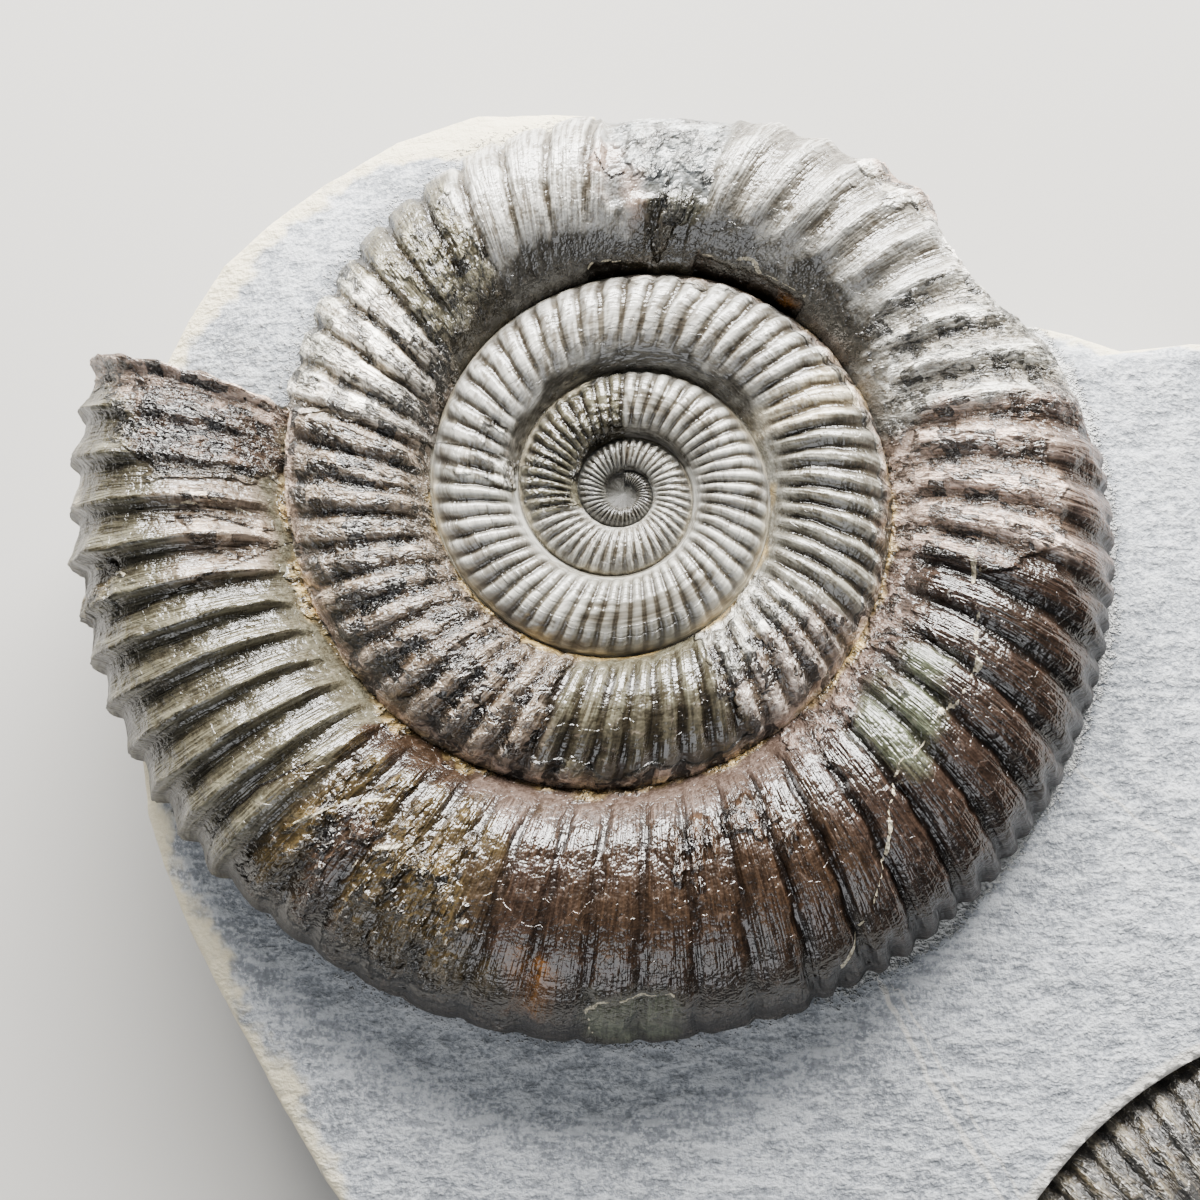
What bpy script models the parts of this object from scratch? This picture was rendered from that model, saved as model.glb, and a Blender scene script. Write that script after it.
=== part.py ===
"""Dactylioceras ammonite in its block of mudstone, with part of a second one at the block's corner.

The block lies on its flat underside. +Z is up, +Y is the top of the photograph, lengths are in metres.
Bearings are degrees clockwise from +Y, seen from above. The shell grows clockwise, and its bearing runs on
past 360 degrees a turn at a time, up to the broken edge of the last whorl.
"""

import math

import bmesh
import bpy
import numpy as np
from mathutils import Vector, noise

MM = 0.001

# The main coil: radius of the outer edge (venter) at each bearing, from the first whorl to the break.
VENTER_RADIUS = (
    (-1440, 2.2), (-1350, 2.6), (-1260, 3.1), (-1170, 4.2), (-1080, 5.1), (-990, 6.1), (-900, 7.7),
    (-810, 9.5), (-720, 11.2), (-630, 13.0), (-540, 15.1), (-495, 16.0), (-450, 17.3), (-405, 18.6),
    (-360, 20.0), (-315, 21.9), (-270, 23.6), (-225, 25.0), (-180, 26.7), (-135, 28.5), (-90, 30.2),
    (-45, 32.4), (0, 34.6), (45, 37.3), (90, 40.7), (135, 44.2), (180, 46.2), (225, 46.9), (284, 48.2),
)
# Ribs counted along the middle of the flank, from the last whorl's top inwards and outwards.
RIBS_COUNTED = (
    (-1480, -207.3), (-1075, -159.1), (-1005, -151.2), (-910, -139.3), (-865, -133.9), (-815, -127.1),
    (-755, -118.4), (-665, -107.3), (-620, -100.6), (-565, -93), (-530, -87.2), (-445, -73.7),
    (-375, -63.4), (-330, -57.1), (-265, -46.1), (-220, -37.7), (-140, -24.8), (-40, -9.8), (65, 4.1),
    (100, 9.2), (205, 26.3), (225, 30), (255, 35.9), (280, 40.5), (300, 44.2),
)
FIRST_BEARING = -1440
BREAK_BEARING = 284
FREE_BEARING = BREAK_BEARING - 360  # from here on no later whorl covers the venter
THICKNESS = 0.95  # half thickness of a whorl for each mm of its half height
SEAM_HEIGHT = 0.52  # where the next whorl sits on this one, as a share of its half thickness
RIB_RELIEF = 0.085  # crest over groove, as a share of the whorl's half height
RIB_LEAN = ((-1480, 3.5), (-700, 4.5), (60, 6.5), (110, 5.0), (150, 2.6), (230, 2.6), (284, 1.0))
UMBILICUS_RELIEF = 0.25  # how strong the ribs are at the inner seam
BARE_PATCH = (-3, 17)  # bearings where the shell and its ribs have broken away
BARE_DEPTH = 0.45
BARE_FROM_DEG = 105  # it starts this high on the section, just inside the crest
# The outer edge broken away above the notch in the block: bearing, largest radius left.
BROKEN_EDGE = (
    (44, 60), (46, 37.6), (50, 35.2), (53, 34.3), (58, 34.0), (63, 34.1), (66, 34.9), (69, 36.3),
    (73, 38.3), (80, 39.5), (86, 40.2), (95, 60),
)

# Points across a whorl, in degrees round its section: 90 is the crest, 0 the venter, -90 the underside.
UPPER_ROWS = {0: (146, 122, 98, 74, 52), 1: (140, 112, 84, 56), 2: (135, 96, 60), 3: (125, 75), 4: (90,)}
OUTER_SEAM_DEG = math.degrees(math.asin(SEAM_HEIGHT))
FREE_ROWS = (12, -12, -45, -90)
COLUMNS_PER_RIB = {0: 3, 1: 3, 2: 2, 3: 2, 4: 1}
CENTRE_KNOB = 0.9
HOLLOW_UNDERSIDE = -3.2  # the underside rises to this at the coil's axis

# The block: its outline clockwise, with the height of its top there, both from the coil's middle plane.
OUTLINE = (
    (0.6, 34.9, 2.2), (7.0, 34.7, 2.0), (12.4, 34.3, 1.6), (18.6, 31.8, 0.2), (23.0, 28.2, -1.6),
    (28.0, 22.8, -2.2), (31.8, 17.4, -1.8), (35.8, 15.8, -0.6), (40.1, 14.6, -0.4), (44.4, 13.0, -0.6),
    (50.5, 13.6, -0.5), (55.6, 13.4, -0.8), (55.9, 4.0, -1.0), (54.6, -8.0, -1.0), (54.9, -20.0, -1.2),
    (53.4, -33.0, -1.2), (52.8, -46.0, -1.4), (51.9, -55.0, -2.6), (50.6, -62.6, -3.0),
    (38.0, -63.6, -2.2), (24.0, -64.0, -1.6), (8.0, -63.3, -1.4), (-8.0, -63.8, -1.6), (-21.2, -63.4, -2.0),
    (-25.9, -57.6, -2.0), (-29.9, -51.2, -2.0), (-33.9, -44.6, -2.0), (-37.9, -37.6, -2.2),
    (-40.6, -32.2, -2.4), (-42.4, -27.6, -2.8), (-43.2, -22.6, -3.2), (-44.4, -14.0, -3.6),
    (-45.0, -5.0, -3.4), (-44.2, 4.0, -1.6), (-42.0, 11.8, 0.6), (-39.6, 16.8, 1.0), (-36.5, 21.8, 1.2),
    (-31.9, 26.0, 1.4), (-27.4, 29.4, 1.6), (-20.8, 33.2, 1.9), (-13.3, 35.5, 2.2), (-6.0, 35.5, 2.3),
)
# Where the block's top meets the shell: bearing, height.
CONTACT_HEIGHT = (
    (-110, -3.2), (-95, -2.4), (-80, 2.4), (-65, 3.2), (-20, 3.8), (10, 3.6), (28, 1.6), (45, -1.6),
    (62, -1.0), (75, 0.7), (100, 0.9), (140, 0.6), (180, 0.0), (215, -0.8), (235, -1.6), (250, -3.2),
)
BLOCK_UNDERSIDE = -16.5
BLOCK_COLUMNS = 76
BLOCK_ROUGHNESS = 0.25
ROCK_LUMP = 9.0  # size of the gentle lumps on its top and sides
NARROWEST_RIM = 2.4  # least width of the rock between the shell and the block's side
POCKET_GAP = 0.3
POCKET_COLUMNS = 66
POCKET_ROWS = (90, 60, 34, 10, -14, -45, -90)
POCKET_TOP = 14.0
END_CLEARANCE_DEG = 0.9

SHARP_EDGE_DEG = 45  # steeper edges than this stay sharp in the shading

# The second ammonite: a piece of its last whorl, cut off at the block's edges.
SECOND_CENTRE = (62.2, -79.8)
SECOND_AXIS_HEIGHT = -7.0
SECOND_RADIUS = 26.0  # coil axis to the middle of the whorl
SECOND_HALF_HEIGHT = 9.4
SECOND_HALF_THICKNESS = 7.2
SECOND_DEPTH = 4.4  # from its axis down to its underside
SECOND_BEARINGS = (285, 358)
SECOND_RIB_DEG = 3.5
SECOND_RIB_RELIEF = 0.45
SECOND_SECTION = (-90, -40, 0, 22, 44, 66, 90, 120, 160, 200, 235)
SECOND_ROCK_CUT = 1.0  # how far inside the block's sides it ends

# From the coil's middle to the middle of the whole part's underside.
PLACE = (-3.85, 14.28, -BLOCK_UNDERSIDE)


def smooth_between(pairs, at):
    """Value at a place between listed ones, along a smooth curve through them."""
    x, y = (np.array(side, float) for side in zip(*pairs))
    slope = np.gradient(y, x)
    i = int(np.clip(np.searchsorted(x, at) - 1, 0, len(x) - 2))
    h = x[i + 1] - x[i]
    t = (at - x[i]) / h
    return float(
        (2 * t**3 - 3 * t**2 + 1) * y[i]
        + (t**3 - 2 * t**2 + t) * h * slope[i]
        + (3 * t**2 - 2 * t**3) * y[i + 1]
        + (t**3 - t**2) * h * slope[i + 1]
    )


def straight_between(pairs, at):
    x, y = zip(*pairs)
    return float(np.interp(at, x, y))


def section(bearing):
    """(middle radius, half height, half thickness, angle of the inner seam) of the whorl at a bearing."""
    venter = smooth_between(VENTER_RADIUS, bearing)
    if bearing - 360 < FIRST_BEARING:
        half = venter * 0.32
        return venter - half, half, half * THICKNESS, 160.0
    middle, half, thick, _ = section(bearing - 360)
    seam = middle + half * math.sqrt(1 - SEAM_HEIGHT**2)
    own_thick = THICKNESS * (venter - seam) / 2
    sunk = math.asin(min(0.9, SEAM_HEIGHT * thick / own_thick))
    own_half = (venter - seam) / (1 + math.cos(sunk))
    return venter - own_half, own_half, own_half * THICKNESS, 180 - math.degrees(sunk)


def on_section(bearing, angle, lift=0.0):
    """(radius, height) on the whorl's section, moved out from it by lift."""
    middle, half, thick, _ = section(bearing)
    c, s = math.cos(math.radians(angle)), math.sin(math.radians(angle))
    out = Vector((c / half, s / thick)).normalized()
    return middle + half * c + lift * out.x, thick * s + lift * out.y


def place(bearing, radius, height):
    turn = math.radians(bearing)
    return Vector((radius * math.sin(turn), radius * math.cos(turn), height))


def rib_number(bearing):
    return straight_between(RIBS_COUNTED, bearing)


def bearing_of_rib(number):
    return straight_between([(count, bearing) for bearing, count in RIBS_COUNTED], number)


def rib_strength(angle, inner_seam):
    """Ribs grow from the inner seam to the flank, run over the venter and fade where rock hides them."""
    rise = min(1.0, max(0.0, (inner_seam - angle) / 45))
    fade = min(1.0, max(0.25, 0.75 + (angle + 10) / 120))
    return (UMBILICUS_RELIEF + (1 - UMBILICUS_RELIEF) * rise) * fade


def coil_point(column, angle):
    """A point of the ribbed shell. column is a rib number; a whole number and a half is a rib's crest."""
    bearing = bearing_of_rib(column)
    _, half, _, inner_seam = section(bearing)
    crest = 0.5 - 0.5 * math.cos(2 * math.pi * column)
    if COLUMNS_PER_RIB[whorl_index(bearing)] == 1:
        crest = 0.3
    angle = min(angle, inner_seam - 4)
    across = min(1.0, max(0.0, (inner_seam - angle) / (inner_seam - OUTER_SEAM_DEG)))
    lean = straight_between(RIB_LEAN, bearing) * (across - 1)
    lift = RIB_RELIEF * half * crest * rib_strength(angle, inner_seam)
    if BARE_PATCH[0] < bearing < BARE_PATCH[1] and angle < BARE_FROM_DEG:
        lift = -BARE_DEPTH * min(1.0, (BARE_FROM_DEG - angle) / 25) * min(1.0, max(0.0, (angle + 20) / 40))
    radius, height = on_section(bearing, angle, lift)
    return place(bearing + lean, min(radius, straight_between(BROKEN_EDGE, bearing + lean)), height)


def whorl_index(bearing):
    """0 for the last whorl, 1 for the one inside it, and so on to the middle."""
    return min(4, int((BREAK_BEARING - bearing) // 360))


def coil_columns():
    """Rib numbers of the columns of points, from the middle of the coil to the break."""
    columns = []
    for index in range(4, -1, -1):
        first = max(FIRST_BEARING, BREAK_BEARING - 360 * (index + 1))
        last = BREAK_BEARING - 360 * index
        step = 1 / COLUMNS_PER_RIB[index]
        number = math.ceil(rib_number(first) / step) * step + (step / 2 if step < 0.4 else 0)
        columns.append(rib_number(first))
        while number < rib_number(last) - step / 3:
            if number > columns[-1] + step / 3:
                columns.append(number)
            number += step
    return columns + [rib_number(BREAK_BEARING)]


def bridge(bm, left, right):
    """Fills between two rows of (position along, vertex) with triangles."""
    i = j = 0
    while i < len(left) - 1 or j < len(right) - 1:
        take_left = j == len(right) - 1 or (
            i < len(left) - 1
            and left[i][0] + left[i + 1][0] <= right[j][0] + right[j + 1][0]
        )
        if take_left:
            bm.faces.new((left[i][1], left[i + 1][1], right[j][1]))
            i += 1
        else:
            bm.faces.new((left[i][1], right[j + 1][1], right[j][1]))
            j += 1


def fan(bm, ring, tip):
    for a, b in zip(ring, ring[1:]):
        bm.faces.new((a, b, tip))


def finish(bm, name, collection, material):
    """Turns the faces outwards and makes a named object of them, in metres and in its place."""
    bmesh.ops.recalc_face_normals(bm, faces=bm.faces)
    if bm.calc_volume(signed=True) < 0:
        bmesh.ops.reverse_faces(bm, faces=bm.faces)
    for vertex in bm.verts:
        vertex.co = (vertex.co + Vector(PLACE)) * MM
    mesh = bpy.data.meshes.new(name)
    bm.to_mesh(mesh)
    bm.free()
    mesh.shade_smooth()
    mesh.set_sharp_from_angle(angle=math.radians(SHARP_EDGE_DEG))
    mesh.materials.append(material)
    made = bpy.data.objects.new(name, mesh)
    collection.objects.link(made)
    return made


def make_ammonite(collection, material):
    """The whole coil as one closed solid: ribbed above and round the last whorl, plain underneath."""
    bm = bmesh.new()
    numbers = coil_columns()
    bearings = [bearing_of_rib(number) for number in numbers]
    upper = []  # for each column, (-angle, vertex) from the inner seam to the outer one
    for number, bearing in zip(numbers, bearings):
        angles = UPPER_ROWS[whorl_index(bearing - 1e-6)] + (OUTER_SEAM_DEG,)
        upper.append([(-angle, bm.verts.new(coil_point(number, angle))) for angle in angles])
    for left, right in zip(upper, upper[1:]):
        bridge(bm, left, right)

    # Each whorl's first row joins the outer row of the whorl inside it.
    inner_row = [(b, column[0][1]) for b, column in zip(bearings, upper) if b >= FIRST_BEARING + 360]
    outer_row = [(b + 360, column[-1][1]) for b, column in zip(bearings, upper) if b <= FREE_BEARING + 1e-6]
    bridge(bm, outer_row, inner_row)

    # The first turn closes on a small knob.
    first_turn = [column[0][1] for b, column in zip(bearings, upper) if b < FIRST_BEARING + 360]
    first_turn += [inner_row[0][1]]
    knob = bm.verts.new((0, 0, CENTRE_KNOB))
    ring = [v for _, v in reversed(upper[0])] + first_turn[1:] + [upper[0][-1][1]]
    fan(bm, ring, knob)

    # Round the venter of the last turn and under it.
    free = []
    for number, bearing, column in zip(numbers, bearings, upper):
        if bearing < FREE_BEARING - 1e-6:
            continue
        free.append([(-OUTER_SEAM_DEG, column[-1][1])])
        free[-1] += [(-angle, bm.verts.new(coil_point(number, angle))) for angle in FREE_ROWS]
    for left, right in zip(free, free[1:]):
        bridge(bm, left, right)
    underside = [column[-1][1] for column in free]
    axis = bm.verts.new((0, 0, HOLLOW_UNDERSIDE))
    fan(bm, underside + [underside[0]], axis)

    # The break: from the last column's edge across to the venter of the whorl inside it.
    broken_edge = upper[-1][:-1] + free[-1]
    inside = free[0]
    bridge(
        bm,
        [(i / (len(broken_edge) - 1), v) for i, (_, v) in enumerate(broken_edge)],
        [(i / (len(inside) - 1), v) for i, (_, v) in enumerate(inside)],
    )
    return finish(bm, "ammonite", collection, material)


def pocket_cutter(collection, material):
    """The space that the ammonite fills in the block, with a gap all round it."""
    bm = bmesh.new()
    reach = POCKET_GAP + 1.05 * RIB_RELIEF * section(BREAK_BEARING)[1]
    top = bm.verts.new((0, 0, POCKET_TOP))
    bottom = bm.verts.new((0, 0, HOLLOW_UNDERSIDE - 3 * POCKET_GAP))
    columns = []
    start = FREE_BEARING + END_CLEARANCE_DEG
    for i in range(POCKET_COLUMNS + 1):
        bearing = start + 360 * i / POCKET_COLUMNS
        shape = min(bearing, BREAK_BEARING)
        columns.append(
            [bm.verts.new(place(bearing, *on_section(shape, angle, reach))) for angle in POCKET_ROWS]
        )
    for left, right in zip(columns, columns[1:]):
        for i in range(len(left) - 1):
            bm.faces.new((left[i], left[i + 1], right[i + 1], right[i]))
        bm.faces.new((left[0], right[0], top))
        bm.faces.new((left[-1], right[-1], bottom))
    first, last = columns[0], columns[-1]
    for i in range(len(first) - 1):
        bm.faces.new((first[i], last[i], last[i + 1], first[i + 1]))
    bm.faces.new((first[0], last[0], top))
    bm.faces.new((first[-1], last[-1], bottom))
    return finish(bm, "ammonite_pocket", collection, material)


def outline_at(bearing):
    """(distance from the coil's axis to the block's side, height of the block's top there) at a bearing."""
    turn = math.radians(bearing)
    ray = Vector((math.sin(turn), math.cos(turn)))
    for a, b in zip(OUTLINE, OUTLINE[1:] + OUTLINE[:1]):
        start, side = Vector(a[:2]), Vector(b[:2]) - Vector(a[:2])
        across = ray.x * side.y - ray.y * side.x
        if abs(across) < 1e-6:
            continue
        far = (start.x * side.y - start.y * side.x) / across
        along = (start.x * ray.y - start.y * ray.x) / across
        if far > 0 and -1e-4 <= along <= 1 + 1e-4:
            return far, a[2] + along * (b[2] - a[2])
    raise ValueError(f"the outline has no side at bearing {bearing}")


def contact_at(bearing):
    """(distance, height) where the block's top meets the shell."""
    turned = bearing if bearing <= 250 else bearing - 360
    meet = straight_between(CONTACT_HEIGHT, turned)
    middle, half, thick, _ = section(turned if turned > FREE_BEARING else turned + 360)
    whole = middle + half * math.sqrt(1 - (meet / thick) ** 2)
    return min(whole, straight_between(BROKEN_EDGE, turned)), meet


def rock_relief(point):
    return noise.noise(Vector(point) / ROCK_LUMP)


def make_block(collection, material):
    """The mudstone before the pockets are cut: a slab that thins and rounds off at its edges."""
    bm = bmesh.new()
    corner_bearings = [math.degrees(math.atan2(x, y)) % 360 for x, y, _ in OUTLINE]
    even = [360 * i / BLOCK_COLUMNS for i in range(BLOCK_COLUMNS)]
    kept = [b for b in even if min(abs((b - c + 180) % 360 - 180) for c in corner_bearings) > 2.4]
    columns = []
    for bearing in sorted(corner_bearings + kept):
        far, edge = outline_at(bearing)
        shell, meet = contact_at(bearing)
        if shell > far - NARROWEST_RIM:
            shell, meet = far - NARROWEST_RIM, min(meet, edge + 0.3)
        under_shell = [(shell * 0.5, -2.4), (shell - 2.0, min(meet, -0.4)), (shell, meet)]
        top = [
            ((2 * shell + far) / 3, (2 * meet + edge) / 3 + 0.15),
            ((shell + 2 * far) / 3, (meet + 2 * edge) / 3 + 0.1),
        ]
        rounded = [(far - 0.7, edge - 0.6)]
        side = [
            (far, edge - 2.6),
            (far + 0.2, (edge + BLOCK_UNDERSIDE) / 2),
            (far - 0.5, BLOCK_UNDERSIDE + 1.6),
        ]
        foot = [(far - 1.9, BLOCK_UNDERSIDE)]
        column = []
        for radius, height in under_shell + top + rounded + side + foot:
            point = place(bearing, radius, height)
            rough = BLOCK_ROUGHNESS * rock_relief(point)
            if (radius, height) in side:
                point = place(bearing, radius + 2 * rough, height)
            elif (radius, height) in top:
                point.z += rough
            column.append(bm.verts.new(point))
        columns.append(column)
    middle = bm.verts.new((0, 0, -2.6))
    bottom = bm.verts.new((0, 0, BLOCK_UNDERSIDE))
    for left, right in zip(columns, columns[1:] + columns[:1]):
        for i in range(len(left) - 1):
            bm.faces.new((left[i], left[i + 1], right[i + 1], right[i]))
        bm.faces.new((left[0], right[0], middle))
        bm.faces.new((left[-1], right[-1], bottom))
    return finish(bm, "matrix", collection, material)


def second_section(bearing, angle, lift):
    """A point round the second ammonite's whorl, from its own coil axis."""
    c, s = math.cos(math.radians(angle)), math.sin(math.radians(angle))
    radius = SECOND_RADIUS + (SECOND_HALF_HEIGHT + lift) * c
    thick = SECOND_HALF_THICKNESS if s > 0 else SECOND_DEPTH
    point = place(bearing, radius, SECOND_AXIS_HEIGHT + (thick + lift) * s)
    return point + Vector((*SECOND_CENTRE, 0))


def tube(name, collection, material, columns):
    """A closed tube through rings of points."""
    bm = bmesh.new()
    rings = [[bm.verts.new(point) for point in column] for column in columns]
    for left, right in zip(rings, rings[1:]):
        for i in range(len(left)):
            j = (i + 1) % len(left)
            bm.faces.new((left[i], left[j], right[j], right[i]))
    bm.faces.new(rings[0])
    bm.faces.new(rings[-1])
    return finish(bm, name, collection, material)


def make_second(collection, material):
    first, last = SECOND_BEARINGS
    count = round((last - first) / SECOND_RIB_DEG * 3)
    columns = []
    for i in range(count + 1):
        crest = 1.0 if i % 3 == 1 else 0.0
        bearing = first + (last - first) * i / count
        columns.append(
            [
                second_section(bearing, angle, SECOND_RIB_RELIEF * crest * (0 <= angle <= 160))
                for angle in SECOND_SECTION
            ]
        )
    return tube("second_ammonite", collection, material, columns)


def second_pocket(collection, material):
    first, last = SECOND_BEARINGS
    reach = SECOND_RIB_RELIEF + POCKET_GAP
    columns = [
        [second_section(first - 1 + (last - first + 2) * i / 18, angle, reach) for angle in SECOND_SECTION]
        for i in range(19)
    ]
    return tube("second_pocket", collection, material, columns)


def block_sides(collection, material):
    """An upright prism just inside the block's sides, which the second ammonite is trimmed to."""
    points = [Vector((x, y, 0)) for x, y, _ in OUTLINE]
    middle = sum(points, Vector()) / len(points)
    shrunk = [p + (middle - p).normalized() * SECOND_ROCK_CUT for p in points]
    columns = [[p + Vector((0, 0, z)) for p in shrunk] for z in (BLOCK_UNDERSIDE + 3, POCKET_TOP)]
    return tube("block_sides", collection, material, columns)


def cut(target, cutter, operation):
    modifier = target.modifiers.new(operation.title(), "BOOLEAN")
    modifier.object = cutter
    modifier.operation = operation
    modifier.solver = "EXACT"


def make_material(name, colour, roughness, metallic=0.0):
    material = bpy.data.materials.new(name)
    material.use_nodes = True
    shader = material.node_tree.nodes["Principled BSDF"]
    shader.inputs["Base Color"].default_value = (*colour, 1)
    shader.inputs["Roughness"].default_value = roughness
    shader.inputs["Metallic"].default_value = metallic
    return material


def main():
    for old in list(bpy.data.objects):
        bpy.data.objects.remove(old, do_unlink=True)
    fossil = bpy.data.collections.new("Dactylioceras ammonite")
    cutters = bpy.data.collections.new("Cutters")
    for collection in (fossil, cutters):
        bpy.context.scene.collection.children.link(collection)

    shell = make_material("fossil_shell", (0.13, 0.105, 0.08), 0.38)
    mudstone = make_material("mudstone", (0.33, 0.35, 0.38), 0.85)
    second_shell = make_material("second_fossil_shell", (0.12, 0.11, 0.09), 0.5)

    make_ammonite(fossil, shell)
    block = make_block(fossil, mudstone)
    second = make_second(fossil, second_shell)
    cut(second, block_sides(cutters, mudstone), "INTERSECT")
    cut(block, pocket_cutter(cutters, mudstone), "DIFFERENCE")
    cut(block, second_pocket(cutters, mudstone), "DIFFERENCE")
    for helper in cutters.objects:
        helper.hide_render = True
        helper.display_type = "WIRE"


main()
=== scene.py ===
"""A Dactylioceras ammonite in its block of mudstone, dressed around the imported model.

Lengths in the tables are millimetres from the coil's axis and middle plane, with +Y towards the
photograph's top. Bearings are degrees clockwise from +Y and run on past 360 a turn at a time, up to the
broken edge of the last whorl. v is the share of the way across a whorl, from its inner seam outwards.
"""

import math

import bmesh
import bpy
import numpy as np
from mathutils import Matrix, Vector, noise


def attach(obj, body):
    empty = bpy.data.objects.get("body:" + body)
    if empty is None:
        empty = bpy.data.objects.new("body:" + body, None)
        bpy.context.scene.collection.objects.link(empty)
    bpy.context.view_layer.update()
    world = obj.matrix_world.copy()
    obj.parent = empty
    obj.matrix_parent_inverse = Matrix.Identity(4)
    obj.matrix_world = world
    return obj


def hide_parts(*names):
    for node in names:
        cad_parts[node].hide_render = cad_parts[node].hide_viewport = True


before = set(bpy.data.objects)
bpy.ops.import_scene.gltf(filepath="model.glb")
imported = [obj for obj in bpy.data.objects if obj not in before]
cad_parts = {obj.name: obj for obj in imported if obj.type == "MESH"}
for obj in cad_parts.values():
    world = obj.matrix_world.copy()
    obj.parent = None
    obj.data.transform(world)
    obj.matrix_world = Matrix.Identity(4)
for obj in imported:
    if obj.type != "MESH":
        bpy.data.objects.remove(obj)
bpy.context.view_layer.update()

bl_info = {
    "name": "Dactylioceras ammonite",
    "version": (1, 0, 0),
    "blender": (4, 5, 0),
    "location": "View3D > Sidebar > Ammonite",
    "description": "Builds a ribbed ammonite fossil in a slab of mudstone, with its floor, lights and camera",
    "category": "Add Mesh",
}

MM = 0.001
BLOCK_UNDERSIDE = -16.5
PLACE = np.array((-3.85, 14.28, -BLOCK_UNDERSIDE))  # the coil's middle, in the part's frame

# ---- the coil, as in the solids
VENTER_RADIUS = (
    (-1440, 2.2), (-1350, 2.6), (-1260, 3.1), (-1170, 4.2), (-1080, 5.1), (-990, 6.1), (-900, 7.7),
    (-810, 9.5), (-720, 11.2), (-630, 13.0), (-540, 15.1), (-495, 16.0), (-450, 17.3), (-405, 18.6),
    (-360, 20.0), (-315, 21.9), (-270, 23.6), (-225, 25.0), (-180, 26.7), (-135, 28.5), (-90, 30.2),
    (-45, 32.4), (0, 34.6), (45, 37.3), (90, 40.7), (135, 44.2), (180, 46.2), (225, 46.9), (284, 48.2),
)
RIBS_COUNTED = (
    (-1480, -207.3), (-1075, -159.1), (-1005, -151.2), (-910, -139.3), (-865, -133.9), (-815, -127.1),
    (-755, -118.4), (-665, -107.3), (-620, -100.6), (-565, -93), (-530, -87.2), (-445, -73.7),
    (-375, -63.4), (-330, -57.1), (-265, -46.1), (-220, -37.7), (-140, -24.8), (-40, -9.8), (65, 4.1),
    (100, 9.2), (205, 26.3), (225, 30), (255, 35.9), (280, 40.5), (300, 44.2),
)
RIB_LEAN = ((-1480, 3.5), (-700, 4.5), (60, 6.5), (110, 5.0), (150, 2.6), (230, 2.6), (284, 1.0))
FIRST_BEARING = -1440
BREAK_BEARING = 284
FREE_BEARING = BREAK_BEARING - 360
THICKNESS = 0.95
SEAM_HEIGHT = 0.52
OUTER_SEAM_DEG = math.degrees(math.asin(SEAM_HEIGHT))
BROKEN_EDGE = (
    (44, 60), (46, 37.6), (50, 35.2), (53, 34.3), (58, 34.0), (63, 34.1), (66, 34.9), (69, 36.3),
    (73, 38.3), (80, 39.5), (86, 40.2), (95, 60),
)
# How wide the furrow between two ribs is at each bearing, as a share of half a rib's spacing.
FURROWS = (
    (-1440, 0.8), (-900, 0.8), (-560, 0.75), (-440, 0.7), (-350, 0.6), (-330, 0.75), (-200, 0.8),
    (-130, 0.8), (-50, 0.5), (-20, 0.3), (0, 0.4), (20, 0.9), (60, 0.9), (100, 0.7), (120, 0.45),
    (160, 0.36), (195, 0.45), (225, 0.7), (284, 0.7),
)

# How sharp the ribs' crests are, from rounded (0) to a ridge between hollow furrows (1).
SHARP_RIBS = (
    (-1440, 0), (-20, 0.0), (15, 0.4), (60, 0.5), (110, 0.2), (160, 0), (220, 0.3), (240, 0.8), (284, 0.8),
)

# How high the ribs stand at each bearing, for those of the last whorl's side.
RIB_SHARES = (
    (-1440, 1.1), (-700, 1.0), (-300, 1.0), (-100, 1.0), (0, 1.0), (60, 1.15), (150, 0.85), (180, 0.65),
    (210, 0.7), (235, 1.25), (284, 1.25),
)

# ---- the block, as in the solids
OUTLINE = (
    (0.6, 34.9, 2.2), (7.0, 34.7, 2.0), (12.4, 34.3, 1.6), (18.6, 31.8, 0.2), (23.0, 28.2, -1.6),
    (28.0, 22.8, -2.2), (31.8, 17.4, -1.8), (35.8, 15.8, -0.6), (40.1, 14.6, -0.4), (44.4, 13.0, -0.6),
    (50.5, 13.6, -0.5), (55.6, 13.4, -0.8), (55.9, 4.0, -1.0), (54.6, -8.0, -1.0), (54.9, -20.0, -1.2),
    (53.4, -33.0, -1.2), (52.8, -46.0, -1.4), (51.9, -55.0, -2.6), (50.6, -62.6, -3.0),
    (38.0, -63.6, -2.2), (24.0, -64.0, -1.6), (8.0, -63.3, -1.4), (-8.0, -63.8, -1.6), (-21.2, -63.4, -2.0),
    (-25.9, -57.6, -2.0), (-29.9, -51.2, -2.0), (-33.9, -44.6, -2.0), (-37.9, -37.6, -2.2),
    (-40.6, -32.2, -2.4), (-42.4, -27.6, -2.8), (-43.2, -22.6, -3.2), (-44.4, -14.0, -3.6),
    (-45.0, -5.0, -3.4), (-44.2, 4.0, -1.6), (-42.0, 11.8, 0.6), (-39.6, 16.8, 1.0), (-36.5, 21.8, 1.2),
    (-31.9, 26.0, 1.4), (-27.4, 29.4, 1.6), (-20.8, 33.2, 1.9), (-13.3, 35.5, 2.2), (-6.0, 35.5, 2.3),
)
CONTACT_HEIGHT = (
    (-110, -3.2), (-95, -2.4), (-80, 2.4), (-65, 3.2), (-20, 3.8), (10, 3.6), (28, 1.6), (45, -1.6),
    (62, -1.0), (75, 0.7), (100, 0.9), (140, 0.6), (180, 0.0), (215, -0.8), (235, -1.6), (250, -3.2),
)
NARROWEST_RIM = 2.4

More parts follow.
